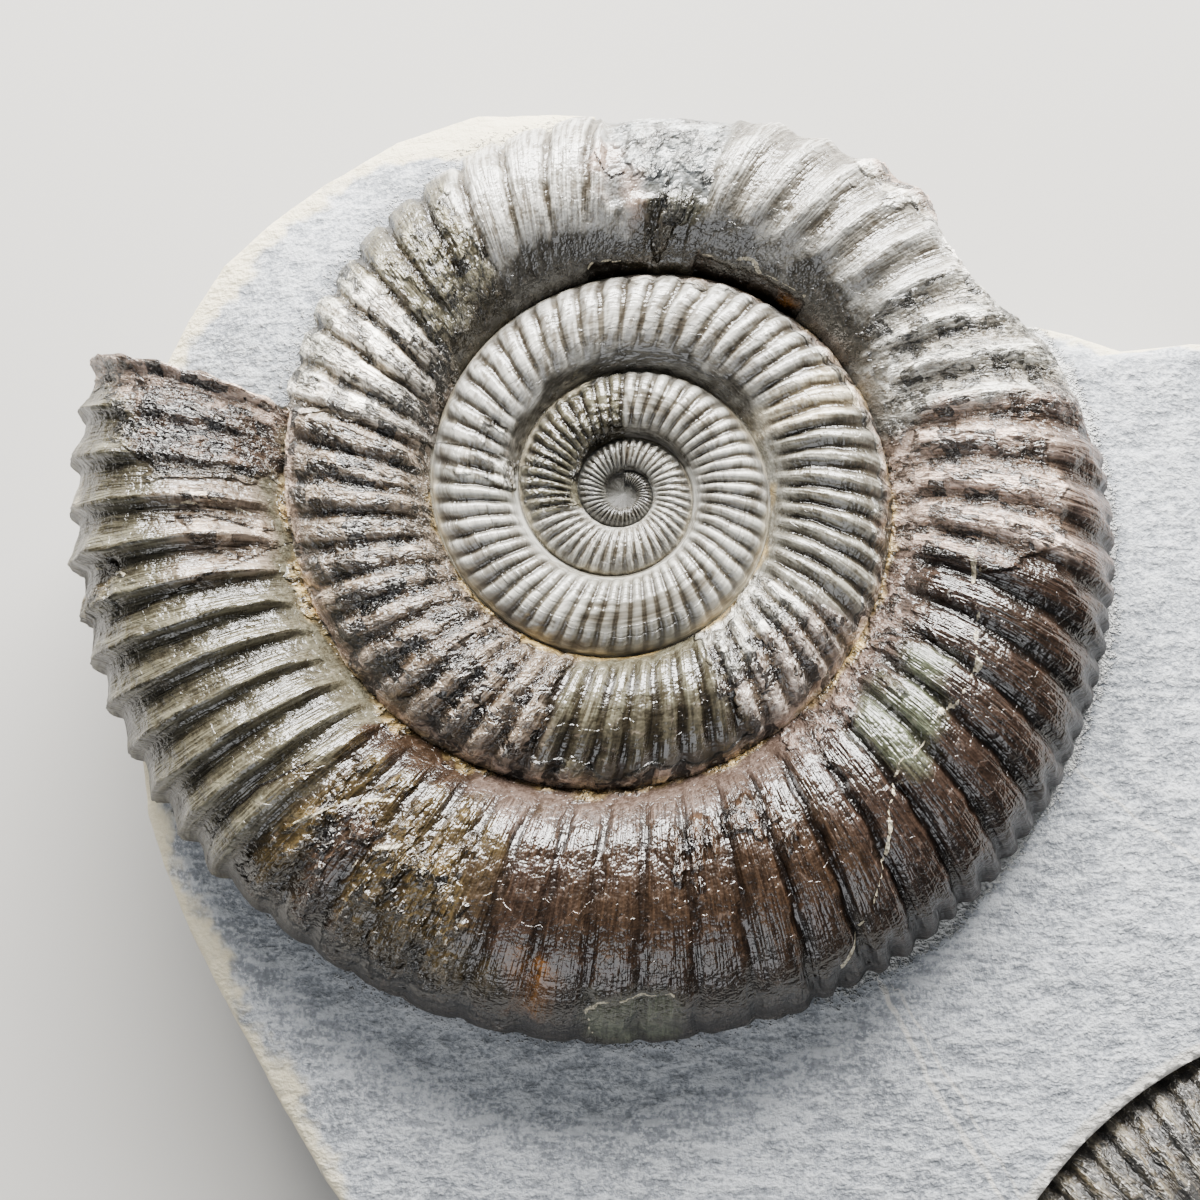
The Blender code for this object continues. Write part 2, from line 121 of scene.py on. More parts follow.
# ---- the second ammonite, as in the solids
SECOND_CENTRE = np.array((62.2, -79.8))
SECOND_AXIS_HEIGHT = -7.0
SECOND_RADIUS = 26.0
SECOND_HALF_HEIGHT = 9.4
SECOND_HALF_THICKNESS = 7.2
SECOND_DEPTH = 4.4
SECOND_BEARINGS = (285, 358)
SECOND_RIB_DEG = 3.5
SECOND_ROCK_CUT = 1.0
FAR = 8.0  # a distance in mm that is beyond the reach of any drawn line or rim
# The mud inside the second ammonite has no rind, fringe or veins.
FILLING_MARKS = {"rind": 0.0, "fringe": 0.0, "second_rim": FAR, "vein_0": FAR, "vein_1": FAR, "vein_2": FAR}

# Mean radius and width in mm that the lines across the last whorl are laid out on.
LINE_RADIUS = 38.0
LINE_WIDTH = 16.0

# ---- colours of the finishes, as sRGB
HEX = {
    "olive grey": "#4f4c3f",
    "silver grey": "#9d9c97",
    "pewter": "#8c8b85",
    "slate": "#4a4a46",
    "chocolate": "#251b15",
    "violet brown": "#50443e",
    "umber": "#271c13",
    "black brown": "#16110c",
    "olive brown": "#382f1b",
    "dark shade": "#26221a",
    "cream": "#d9ceb2",
    "gold": "#a8915f",
    "rose flake": "#948277",
    "white flake": "#d4d0c8",
    "amber": "#5e3c14",
    "moss": "#434739",
    "bare rock": "#727575",
    "mudstone": "#a0a4aa",
    "mudstone light": "#c3c6c9",
    "mudstone dark": "#6f7378",
    "rind": "#d8cdae",
    "scraped edge": "#cececb",
    "crust": "#bcb8af",
    "dark grey": "#3a3b37",
    "floor": "#adaba7",
}

# What wear, dirt, painted highlight and painted shade multiply the shell's own colour by.
PALE_WEAR_AND_HIGHLIGHT = (1.7, 1.68, 1.64, 1.0)
DARK_FILM_AND_SHADE = (0.36, 0.31, 0.25, 1.0)
FURROW_SHADE_AND_FILM = (0.16, 0.13, 0.09, 1.0)

# Where each colour lies on the shell: bearings from and to, v from and to, colour, share.
TINTS = (
    (-1440, -830, 0, 1, "pewter", 1.0),
    (-1440, -1080, 0, 1, "slate", 0.8),
    # the innermost turns darkened
    (-1440, -1200, 0, 1, "dark shade", 0.5),
    (-830, -720, 0, 1, "olive grey", 0.7),
    (-720, -205, 0, 1, "pewter", 1.0),
    (-420, -310, 0.2, 1, "silver grey", 0.8),
    (-560, -520, 0, 1, "olive grey", 0.3),
    (-457, -445, 0.1, 0.9, "moss", 0.3),
    (-300, -288, 0, 1, "cream", 0.5),
    (-288, -237, 0, 1, "olive grey", 0.6),
    (-237, -205, 0.5, 1, "violet brown", 0.8),
    (-205, -165, 0, 1, "olive grey", 1.0),
    (-165, -76, 0, 1, "violet brown", 1.0),
    (-165, -76, 0, 1, "olive grey", 0.4),
    (-165, -112, 0, 1, "chocolate", 0.3),
    (-76, -52, 0, 1, "white flake", 0.6),
    (-76, -52, 0, 0.3, "chocolate", 0.6),
    (-72, -52, 0.6, 1, "moss", 0.6),
    (-52, -28, 0, 1, "olive grey", 1.0),
    (-30, 0, 0, 1, "silver grey", 1.0),
    (-3, 17, 0.33, 1.1, "bare rock", 1.0),
    # a dark grey sunken patch on the top wall
    (5, 15, 0.06, 0.36, "dark grey", 0.7),
    (-5, -1, 0.42, 0.6, "rose flake", 1.0),
    (0, 4, 0.24, 0.42, "rose flake", 0.8),
    (17, 60, 0, 1, "silver grey", 0.9),
    (15, 38, 0.9, 1.1, "cream", 0.9),
    (39, 56, 0.74, 1.1, "rose flake", 1.0),
    (42, 52, 0.74, 0.8, "umber", 0.9),
    (55, 62, 0.6, 0.95, "white flake", 0.7),
    (60, 84, 0, 1.1, "silver grey", 0.8),
    (62, 76, 0.55, 1.1, "moss", 0.25),
    (80, 106, 0, 1.1, "violet brown", 1.0),
    (80, 108, 0, 0.6, "rose flake", 0.7),
    (104, 152, 0, 1.1, "chocolate", 1.0),
    # violet brown along the inner seam: partly the shell's colour, partly a painted sheen
    (104, 150, -0.1, 0.2, "violet brown", 0.9),
    (120, 140, 0.24, 0.4, "moss", 1.0),
    (150, 226, 0, 1.1, "umber", 1.0),
    # violet brown along the inner seam: partly the shell's colour, partly a painted sheen
    (150, 205, -0.1, 0.2, "violet brown", 0.7),
    (195, 226, 0.2, 0.95, "olive brown", 0.8),
    (212, 219, 0.35, 0.8, "chocolate", 0.9),
    (226, 286, 0, 1.1, "olive grey", 1.0),
    (255, 271, 0.13, 0.42, "rose flake", 0.45),
    (271, 283, 0.02, 0.55, "chocolate", 0.95),
    (281, 286, 0, 1.1, "rose flake", 0.8),
    (268.6, 270.4, 0.76, 0.84, "cream", 1.0),
    (256, 261, 0.6, 0.9, "olive brown", 0.8),
    # a darker outer edge: partly the shell's own dark colour, partly painted shade where the side turns down
    # away from the light
    (60, 104, 0.9, 1.2, "black brown", 0.5),
    (104, 150, 0.76, 1.2, "black brown", 0.75),
    (150, 226, 0.72, 1.2, "black brown", 0.9),
    (226, 284, 0.93, 1.2, "olive brown", 0.5),
    (174.5, 184, 0.68, 0.9, "moss", 1.0),
    (188, 193, 0.58, 0.78, "amber", 1.0),
    (186, 200, 0.35, 0.6, "chocolate", 0.6),
    # painted shade on the inner walls at the coil's top side, which face away from the light
    (-60, 62, -0.1, 0.25, "dark shade", 0.9),
    (-76, -58, -0.1, 0.12, "chocolate", 0.8),
    (62, 90, -0.1, 0.1, "dark shade", 0.6),
    (18, 45, -0.1, 0.11, "black brown", 1.0),
    (40.5, 43.5, 0.06, 0.13, "amber", 1.0),
    (-9, 6, -0.1, 0.06, "black brown", 1.0),
    # painted shade on the inner whorls' walls at the top side, which face away from the light
    (-440, -292, -0.1, 0.24, "dark shade", 0.85),
    (-800, -650, -0.1, 0.22, "dark shade", 0.8),
    (-1150, -1020, -0.1, 0.2, "dark shade", 0.7),
    # painted shade on the whorls' outer sides at the foot, which face away from the light
    (-570, -490, 0.7, 1.1, "dark shade", 0.4),
    (-205, -165, 0.5, 1.1, "dark shade", 0.75),
    (88, 272, -0.1, 0.01, "gold", 0.8),
    (-272, -90, -0.1, 0.03, "gold", 0.8),
    (-360, -76, 0.9, 1.1, "rose flake", 0.75),
    (-360, -76, 0.98, 1.1, "gold", 0.6),
    (-1080, -360, 0.93, 1.1, "cream", 0.5),
)
# Where the shell has split into thin leaves: bearings from and to, v from and to, how much.
LEAVES = (
    (-830, -720, 0, 1, 0.4), (-450, -420, 0, 1, 0.4), (-237, -205, 0, 1, 0.8), (-165, -135, 0, 1, 0.7),
    (88, 272, -0.2, 0.02, 0.8),
    (-360, -76, 0.84, 1.2, 0.8), (-135, -50, 0, 0.95, 1.0), (-50, -28, 0.1, 0.7, 0.5),
    (-14, 2, 0.45, 0.7, 0.3), (5, 15, 0.06, 0.4, 0.55), (-3, 17, 0.33, 1.2, 0.5), (36, 62, 0.62, 1.1, 0.7),
    (58, 84, 0.1, 1.1, 0.8), (84, 106, 0, 0.55, 0.9), (104, 150, 0, 0.25, 0.6), (152, 178, 0.2, 0.42, 0.5),
    (150, 215, 0.86, 1.1, 0.5), (196, 226, 0.2, 0.9, 0.42),
    (255, 271, 0.12, 0.45, 0.5), (253, 260, 0.5, 0.95, 0.6), (271, 286, 0, 0.6, 1.0),
    (280, 286, 0, 1.1, 1.0),
)
# Where the ribs are gone or faint: bearings from and to, v from and to, how much is gone.
WORN = (
    (-3, 17, 0.33, 1.2, 1.0), (271, 283, 0.05, 0.55, 0.5), (44, 58, 0.8, 1.2, 0.6),
    (164, 226, 0.3, 1.2, 0.35),
)
# Where each rib splits in two near the outer edge.
SPLIT_RIBS = ((72, 162, 0.78, 1.2, 1.0),)
# Raised or sunken places: bearings from and to, v from and to, height in mm.
STEPS = (
    (-3, 17, 0.33, 1.2, -0.3), (5, 15, 0.06, 0.36, -0.12), (39, 56, 0.74, 1.2, 0.22),
    (174.5, 184, 0.68, 0.9, -0.3), (18, 45, -0.1, 0.11, -0.35), (-9, 6, -0.1, 0.06, -0.3),
    (256, 261, 0.6, 0.9, -0.25), (278, 281.5, 0.5, 0.86, -0.35), (84, 106, 0.56, 1.2, 0.16),
    (88, 272, -0.1, 0.012, 0.12), (-272, -76, 0.965, 1.1, 0.1),
)
# How far the crest lies between two furrows at each bearing, and where the ribs begin above the inner seam.
CRESTS = ((-1440, 0.5), (200, 0.5), (238, 0.2), (284, 0.2))
RIBS_BEGIN_DEG = (
    (-1440, 8), (-800, 14), (-640, 14), (-560, 6), (-450, 10), (-400, 22), (-310, 20), (-270, 6),
    (-76, 4), (-58, 10), (-46, 30), (60, 30), (84, 8), (284, 4),
)
# Thin dark cracks and pale lines of calcite across the shell, as (bearing, v) points.
CRACKS = (
    ((260.5, 0.0), (259.0, 0.1), (257.1, 0.2), (255.6, 0.32), (254.5, 0.45), (253.9, 0.56), (253.7, 0.68)),
    ((-4.6, 0.53), (-3.4, 0.46), (-2.0, 0.42), (0.6, 0.44)),
    ((226.0, 0.35), (228.2, 0.5), (228.8, 0.68), (226.6, 0.9)),
    ((262.0, 0.16), (264.2, 0.3), (263.4, 0.42)),
)
CALCITE_LINES = (
    ((102, 0.32), (113, 0.36), (120, 0.42), (130, 0.41), (138, 0.39), (143, 0.46), (148, 0.56),
     (153, 0.66), (157, 0.78)),
    ((19, 0.12), (28, 0.14), (36, 0.12), (44, 0.12)),
    ((-9, 0.07), (-3, 0.09), (4, 0.07)),
    ((174.5, 0.68), (179, 0.67), (184, 0.72), (183.4, 0.88)),
    ((205, 0.42), (209, 0.38), (213, 0.44), (214, 0.56)),
    ((214, 0.3), (219, 0.36), (222, 0.5)),
    ((264.4, 0.14), (266.2, 0.26), (266, 0.42)),
    ((255.5, 0.6), (258.6, 0.58), (260.6, 0.74)),
)
# Veins in the rock, as (x, y) points.
ROCK_VEINS = (
    ((21.0, -41.7), (24.0, -47.7), (27.1, -53.2), (31.4, -60.0)),
    ((22.6, -42.4), (25.9, -48.4), (29.3, -54.2), (33.6, -61.0)),
    ((37.8, -24.1), (42.9, -28.3), (47.6, -31.6), (54.0, -36.2)),
)


def linear(hex_colour):
    """A colour written as sRGB hex, as the linear values that the shaders take."""
    channels = [int(hex_colour[i : i + 2], 16) / 255 for i in (1, 3, 5)]
    return [c / 12.92 if c <= 0.04045 else ((c + 0.055) / 1.055) ** 2.4 for c in channels]


def named(name):
    return (*linear(HEX[name]), 1.0)


# ---------------------------------------------------------------- shape of the coil


def smooth_between(pairs, at):
    """Values between listed ones, along a smooth curve through them."""
    x, y = (np.array(side, float) for side in zip(*pairs))
    slope = np.gradient(y, x)
    i = np.clip(np.searchsorted(x, at) - 1, 0, len(x) - 2)
    h = x[i + 1] - x[i]
    t = (at - x[i]) / h
    return (
        (2 * t**3 - 3 * t**2 + 1) * y[i]
        + (t**3 - 2 * t**2 + t) * h * slope[i]
        + (3 * t**2 - 2 * t**3) * y[i + 1]
        + (t**3 - t**2) * h * slope[i + 1]
    )


def straight_between(pairs, at):
    x, y = zip(*pairs)
    return np.interp(at, x, y)


def section(bearing):
    """Middle radius, half height, half thickness and inner seam's angle of the whorl at each bearing."""
    venter = smooth_between(VENTER_RADIUS, bearing)
    half = venter * 0.32
    middle, thick, seam_deg = venter - half, half * THICKNESS, np.full_like(venter, 160.0)
    later = bearing - 360 >= FIRST_BEARING
    if later.any():
        middle_in, half_in, thick_in, _ = section(bearing - 360)
        seam = middle_in + half_in * math.sqrt(1 - SEAM_HEIGHT**2)
        own_thick = THICKNESS * (venter - seam) / 2
        sunk = np.arcsin(np.clip(SEAM_HEIGHT * thick_in / own_thick, 0, 0.9))
        own_half = (venter - seam) / (1 + np.cos(sunk))
        half = np.where(later, own_half, half)
        middle = np.where(later, venter - own_half, middle)
        thick = half * THICKNESS
        seam_deg = np.where(later, 180 - np.degrees(sunk), seam_deg)
    return middle, half, thick, seam_deg


def on_section(bearing, angle, lift=0.0):
    """(radius, height, outward radius, outward height) on the whorl's section."""
    middle, half, thick, _ = section(bearing)
    c, s = np.cos(np.radians(angle)), np.sin(np.radians(angle))
    out_r, out_z = c / half, s / thick
    size = np.hypot(out_r, out_z)
    out_r, out_z = out_r / size, out_z / size
    return middle + half * c + lift * out_r, thick * s + lift * out_z, out_r, out_z


def place(bearing, radius, height):
    turn = np.radians(bearing)
    return np.stack([radius * np.sin(turn), radius * np.cos(turn), height + 0 * turn], -1)


def lumps(points, size, seed=0.0):
    """Smooth noise from -1 to 1 at each point, with lumps of about that size."""
    return np.array([noise.noise(p) for p in (np.asarray(points) / size + seed).tolist()])


def band(at, low, high, soft):
    """1 between low and high, falling to 0 over soft on either side."""
    return np.clip((at - low) / soft + 0.5, 0, 1) * np.clip((high - at) / soft + 0.5, 0, 1)


def painted(zones, bearing, v, soft_bearing=2.0, soft_v=0.06):
    """The largest amount that any zone gives at each point."""
    amount = np.zeros_like(bearing)
    for from_bearing, to_bearing, from_v, to_v, much in zones:
        here = band(bearing, from_bearing, to_bearing, soft_bearing) * band(v, from_v, to_v, soft_v)
        amount = np.where(np.abs(here * much) > np.abs(amount), here * much, amount)
    return amount


def signed_distance(points, line):
    """Distance in mm to a line of (x, y) points, with a side; large beyond its ends."""
    best = np.full(len(points), 50.0)
    for a, b in zip(np.array(line)[:-1], np.array(line)[1:]):
        along = (b - a) / np.linalg.norm(b - a)
        rel = points - a
        t = rel @ along
        side = rel[:, 0] * along[1] - rel[:, 1] * along[0]
        over = np.maximum(0, np.maximum(-t, t - np.linalg.norm(b - a)))
        distance = np.hypot(side, over)
        signed = np.where(side < 0, -distance, distance)
        best = np.where(distance < np.abs(best), signed, best)
    return best


# ---------------------------------------------------------------- meshes


def make_mesh(name, points_mm, faces, attributes=None):
    """A mesh in the part's frame from points in millimetres about the coil's middle."""
    mesh = bpy.data.meshes.new(name)
    mesh.from_pydata(((np.asarray(points_mm) + PLACE) * MM).tolist(), [], faces)
    bm = bmesh.new()
    bm.from_mesh(mesh)
    bmesh.ops.recalc_face_normals(bm, faces=bm.faces)
    bm.to_mesh(mesh)
    bm.free()
    for key, values in (attributes or {}).items():
        values = np.asarray(values, np.float32)
        if values.ndim == 1:
            mesh.attributes.new(key, "FLOAT", "POINT").data.foreach_set("value", values)
        elif values.shape[1] == 3:
            mesh.attributes.new(key, "FLOAT_VECTOR", "POINT").data.foreach_set("vector", values.ravel())
        else:
            mesh.attributes.new(key, "FLOAT_COLOR", "POINT").data.foreach_set("color", values.ravel())
    mesh.shade_smooth()
    return mesh


def make_object(name, mesh):
    made = bpy.data.objects.new(name, mesh)
    bpy.context.scene.collection.objects.link(made)
    return made


def strip_faces(left, right):
    """Quads between two equally long rows of vertex numbers."""
    return [(left[i], left[i + 1], right[i + 1], right[i]) for i in range(len(left) - 1)]


def add(tree, kind, inputs=(), **settings):
    """Adds a node with its settings, and gives its inputs their values or links."""
    node = tree.nodes.new(kind)
    for name, value in settings.items():
        setattr(node, name, value)
    for key, value in inputs.items() if isinstance(inputs, dict) else enumerate(inputs):
        if isinstance(value, bpy.types.NodeSocket):
            tree.links.new(value, node.inputs[key])
        elif value is not None:
            node.inputs[key].default_value = value
    return node


def steps_on(tree):
    """Short forms, on one tree, of the steps that repeat: a sum, a smooth ramp and a blend of two colours."""

    def math_node(operation, *values):
        return add(tree, "ShaderNodeMath", values, operation=operation).outputs[0]

    def ramp(value, low, high, to_low=0.0, to_high=1.0):
        return add(
            tree, "ShaderNodeMapRange",
            {"Value": value, "From Min": low, "From Max": high, "To Min": to_low, "To Max": to_high},
            interpolation_type="SMOOTHSTEP",
        ).outputs[0]

    def blend(share, first, second, kind="MIX"):
        return add(
            tree, "ShaderNodeMix", {0: share, 6: first, 7: second}, data_type="RGBA", blend_type=kind
        ).outputs[2]

    return math_node, ramp, blend


def shell_attributes(bearing, angle, radius, height, out_r, out_z):
    """What the relief and the finish of the shell follow, at each point."""
    middle, half, _, seam = section(bearing)
    v = (seam - angle) / (seam - np.where(bearing < FREE_BEARING, OUTER_SEAM_DEG, 0.0))
    across = np.clip((seam - angle) / (seam - OUTER_SEAM_DEG), 0, 1)
    lean = straight_between(RIB_LEAN, bearing) * (1 - across)
    rib = straight_between(RIBS_COUNTED, bearing + lean)
    whole, part = np.floor(rib), rib - np.floor(rib)
    crest_at = straight_between(CRESTS, bearing)
    rib = whole + np.where(part < crest_at, part / crest_at, 1 + (part - crest_at) / (1 - crest_at)) / 2
    spot = place(bearing, radius, height)
    turn_no = np.floor((BREAK_BEARING - bearing) / 360)
    away = spot + 37.0 * turn_no[:, None]
    jag_b = 3.2 * lumps(away, 4.0) + 1.4 * lumps(away, 1.1, 5.0)
    jag_v = 0.14 * lumps(away, 3.6, 9.0) + 0.05 * lumps(away, 0.9, 3.0)
    scale = np.clip(radius / 36, 0.25, 1)
    b2, v2 = bearing + jag_b, v + 0.5 * jag_v / np.maximum(scale, 0.5)
    tint = np.tile(np.array(named("olive grey")), (len(bearing), 1))
    for b0, b1, v0, v1, colour, share in TINTS:
        weight = (share * band(b2, b0, b1, 3.0) * band(v2, v0 - (0.2 if v0 == 0 else 0), v1, 0.07))[:, None]
        tint = tint * (1 - weight) + np.array(named(colour)) * weight
    begin = straight_between(RIBS_BEGIN_DEG, bearing)
    ribbing = np.clip((seam - angle - begin) / 32, 0, 1)
    ribbing = ribbing * ribbing * (3 - 2 * ribbing)
    ribbing *= np.clip(0.75 + (angle + 10) / 120, 0.25, 1)
    ribbing *= 1 - painted(WORN, bearing + 0.3 * jag_b, v + 0.25 * jag_v, 1.2, 0.05)
    limit = straight_between(BROKEN_EDGE, bearing)
    ribbing *= np.clip((limit - radius) / 1.5, 0, 1)
    # the inner whorls' ribs fade before the next whorl covers them
    ribbing *= np.where(bearing < FREE_BEARING, np.clip((0.99 - v) / 0.16, 0, 1), 1)
    lift = painted(STEPS, bearing + 0.3 * jag_b, v + 0.25 * jag_v, 0.35, 0.02) * MM
    # distance along the whorl and across it, which the grain of the shell follows
    along = np.radians(bearing + lean) * middle
    unrolled = np.stack([along, np.radians(seam - angle) * half, 40.0 * turn_no], -1)
    flat = np.stack([np.radians(bearing) * LINE_RADIUS, v * LINE_WIDTH], -1)
    lines = {}
    for name, drawn, waver in (("crack", CRACKS, 0.15), ("calcite", CALCITE_LINES, 0.5)):
        wavy = flat + waver * lumps(spot, 1.6, 2.0)[:, None]
        nearest = np.full(len(bearing), FAR)
        for line in drawn:
            marked = [(math.radians(b) * LINE_RADIUS, at * LINE_WIDTH) for b, at in line]
            nearest = np.minimum(nearest, np.abs(signed_distance(wavy, marked)))
        lines[name] = nearest
    turn = np.radians(bearing)
    outward = np.stack([out_r * np.sin(turn), out_r * np.cos(turn), out_z], -1)
    return {
        "rib": rib, "half": half * MM * straight_between(RIB_SHARES, bearing), "ribbing": ribbing,
        "furrow": 0.5 * straight_between(FURROWS, bearing), "sharp": straight_between(SHARP_RIBS, bearing),
        "split": painted(SPLIT_RIBS, bearing, v, 8.0, 0.12),
        "leaves": painted(LEAVES, b2, v + jag_v, 7.0, 0.24), "lift": lift, "outward": outward,
        "unrolled": unrolled, "tint": tint, "across": v, **lines,
    }


def stitched(parts):
    """Joins several dictionaries of per-point values end to end."""
    return {key: np.concatenate([np.asarray(p[key]) for p in parts]) for key in parts[0]}


def flat_attributes(count, like):
    """Plain values for points that are hidden inside the fossil."""
    return {key: np.zeros((count, *np.shape(value)[1:])) for key, value in like.items()}


INNER_COLUMNS = 540  # in a turn
INNER_ROWS = 44
LAST_COLUMNS = 1040
LAST_ROWS = 84
JAG_DEG = 2.5


def inner_whorls_mesh():
    """The whorls up to where the last one starts: one skin whose seams are shared, closed underneath."""
    n, rows = INNER_COLUMNS, INNER_ROWS
    start = FIRST_BEARING
    end = FREE_BEARING + 3
    count = round((end - start) / 360 * n) + 1
    bearing = start + np.arange(count) * 360 / n
    _, _, _, seam = section(bearing)
    share = np.linspace(0, 1, rows)
    angle = seam[:, None] * (1 - share) + OUTER_SEAM_DEG * share
    number = np.zeros((count, rows), int)
    owners, total = [], 0
    grid_b = np.repeat(bearing[:, None], rows, 1)
    for i in range(count):
        first = 0 if i < n else 1
        if first:
            number[i, 0] = number[i - n, rows - 1]
        number[i, first:] = np.arange(total, total + rows - first)
        total += rows - first
        owners += [(i, j) for j in range(first, rows)]
    owners = np.array(owners)
    b, a = grid_b[owners[:, 0], owners[:, 1]], angle[owners[:, 0], owners[:, 1]]
    r, z, out_r, out_z = on_section(b, a)
    attributes = shell_attributes(b, a, r, z, out_r, out_z)
    points = place(b, r, z)
    faces = []
    for i in range(count - 1):
        faces += strip_faces(number[i], number[i + 1])
    knob, axis = total, total + 1
    first_turn = [number[i, 0] for i in range(n + 1)]
    ring = first_turn + list(number[0, ::-1])[1:]
    faces += [(ring[k], ring[k + 1], knob) for k in range(len(ring) - 1)]
    outer = [number[i, rows - 1] for i in range(count - n - 1, count)] + list(number[-1, ::-1])[1:-1]
    low = list(range(total + 2, total + 2 + len(outer)))
    lowered = points[outer] * (0.99, 0.99, 0) + (0, 0, -4.2)
    for k in range(len(outer)):
        m = (k + 1) % len(outer)
        faces.append((outer[k], outer[m], low[m], low[k]))
        faces.append((low[k], low[m], axis))
    points = np.concatenate([points, [(0, 0, 0.9), (0, 0, -3.6)], lowered])
    hidden = flat_attributes(2 + len(outer), attributes)
    hidden["tint"][0] = named("slate")
    return make_mesh("inner_whorls", points, faces, stitched([attributes, hidden]))


def last_whorl_mesh():
    """The last whorl as a closed tube, from a ragged flake edge to the break."""
    n = LAST_COLUMNS
    bearing = FREE_BEARING + np.arange(n + 1) * 360 / n
    _, _, _, seam = section(bearing)
    share = np.linspace(0, 1, LAST_ROWS)
    under = (-20, -34, -52, -70, -90)
    angle = (seam[:, None] + 4) * (1 - share) - 10.0 * share
    angle = np.concatenate([angle, np.tile(under, (n + 1, 1))], 1)
    rows = angle.shape[1]
    b, a = np.repeat(bearing[:, None], rows, 1).ravel(), angle.ravel()
    # the start is a torn edge that lies over the whorl it grows from
    from_start = np.clip(1 - (b - FREE_BEARING) / 8, 0, 1)
    v = np.clip((np.repeat(seam, rows) - a) / 130, 0, 1)
    flap = np.stack([v * 9.0, v * 0, v * 0], -1)
    tear = 0.5 + 0.5 * lumps(flap, 1.1, 3.0)
    upper = np.clip((a - OUTER_SEAM_DEG) / 8, 0, 1)
    b = b - JAG_DEG * from_start * tear * upper
    # the break leans back towards the inner seam
    to_end = np.clip(1 - (BREAK_BEARING - b) / 8, 0, 1)
    b = b + to_end * (0.9 * (v - 0.7) + 0.5 * lumps(flap, 0.8, 7.0))
    r, z, out_r, out_z = on_section(b, a)
    limit = straight_between(BROKEN_EDGE, b)
    rough_edge = limit + 0.35 * lumps(place(b, 40 + 0 * r, z), 1.6, 4.0)
    clamped = (r > rough_edge) & (limit < 59)
    r = np.where(clamped, rough_edge, r)
    attributes = shell_attributes(b, a, r, z, out_r, out_z)
    attributes["lift"] += 0.12 * MM * np.clip(from_start * 1.4, 0, 1) * upper
    attributes["leaves"] = np.where(clamped, 1.0, attributes["leaves"])
    points = place(b, r, z)
    number = np.arange((n + 1) * rows).reshape(n + 1, rows)
    wall = len(points) + np.arange(n + 1)
    _, _, _, seam = section(bearing)
    wall_r, _, _, _ = on_section(bearing, seam)
    walls = place(bearing, wall_r + 0.2, -4.6 + 0 * bearing)
    faces = []
    loops = np.concatenate([number, wall[:, None], number[:, :1]], 1)
    for i in range(n):
        faces += strip_faces(loops[i], loops[i + 1])
    # the first ring closes flat; the last one is the rough broken face
    faces.append(tuple(loops[0, :-1]))
    face_points = []
    ring_points = np.concatenate([points[number[-1]], walls[-1:]])
    at_break = np.array([float(BREAK_BEARING)])
    centre = place(at_break, section(at_break)[0], 0.0)[0]
    turn = math.radians(BREAK_BEARING)
    forward = np.array((math.cos(turn), -math.sin(turn), 0.0))
    total = len(points) + len(walls)
    before = list(loops[-1, :-1])
    shrinks = (0.985, 0.955, 0.91, 0.86, 0.8, 0.73, 0.65, 0.56, 0.46, 0.35, 0.24, 0.12)
    for step, shrink in enumerate(shrinks):
        ring = centre + (ring_points - centre) * shrink
        dent = -0.9 * (1 - shrink) + 0.35 * lumps(ring, 1.7, 6.0) * min(1, step / 2)
        face_points.append(ring + forward * dent[:, None])
        now = list(range(total, total + len(ring)))
        faces += strip_faces(before + before[:1], now + now[:1])
        before, total = now, total + len(ring)
    faces += [(before[k], before[(k + 1) % len(before)], total) for k in range(len(before))]
    face_points.append((centre - forward * 0.8)[None])
    face_points = np.concatenate(face_points)
    broken = flat_attributes(len(face_points), attributes)
    broken["tint"][:] = named("olive brown")
    broken["leaves"][:] = 1.0
    broken["outward"][:] = forward
    broken["unrolled"][:] = face_points
    for key in ("crack", "calcite"):
        broken[key][:] = FAR
    hidden = flat_attributes(len(walls), attributes)
    hidden["tint"][:] = named("umber")
    points = np.concatenate([points, walls, face_points])
    return make_mesh("last_whorl", points, faces, stitched([attributes, hidden, broken]))


def outline_at(bearing):
    """Distance from the coil's axis to the block's side, and the height of its top there."""
    ray = np.stack([np.sin(np.radians(bearing)), np.cos(np.radians(bearing))], -1)
    far, edge = np.zeros(len(bearing)), np.zeros(len(bearing))
    for a, b in zip(OUTLINE, OUTLINE[1:] + OUTLINE[:1]):
        start, side = np.array(a[:2]), np.array(b[:2]) - np.array(a[:2])
        across = ray[:, 0] * side[1] - ray[:, 1] * side[0]
        across = np.where(np.abs(across) < 1e-9, 1e-9, across)
        distance = (start[0] * side[1] - start[1] * side[0]) / across
        along = (start[0] * ray[:, 1] - start[1] * ray[:, 0]) / across
        hit = (distance > 0) & (along >= -1e-9) & (along <= 1 + 1e-9)
        far = np.where(hit, distance, far)
        edge = np.where(hit, a[2] + along * (b[2] - a[2]), edge)
    return far, edge


ROCK_COLUMNS = 760
ROCK_TOP_ROWS = 46


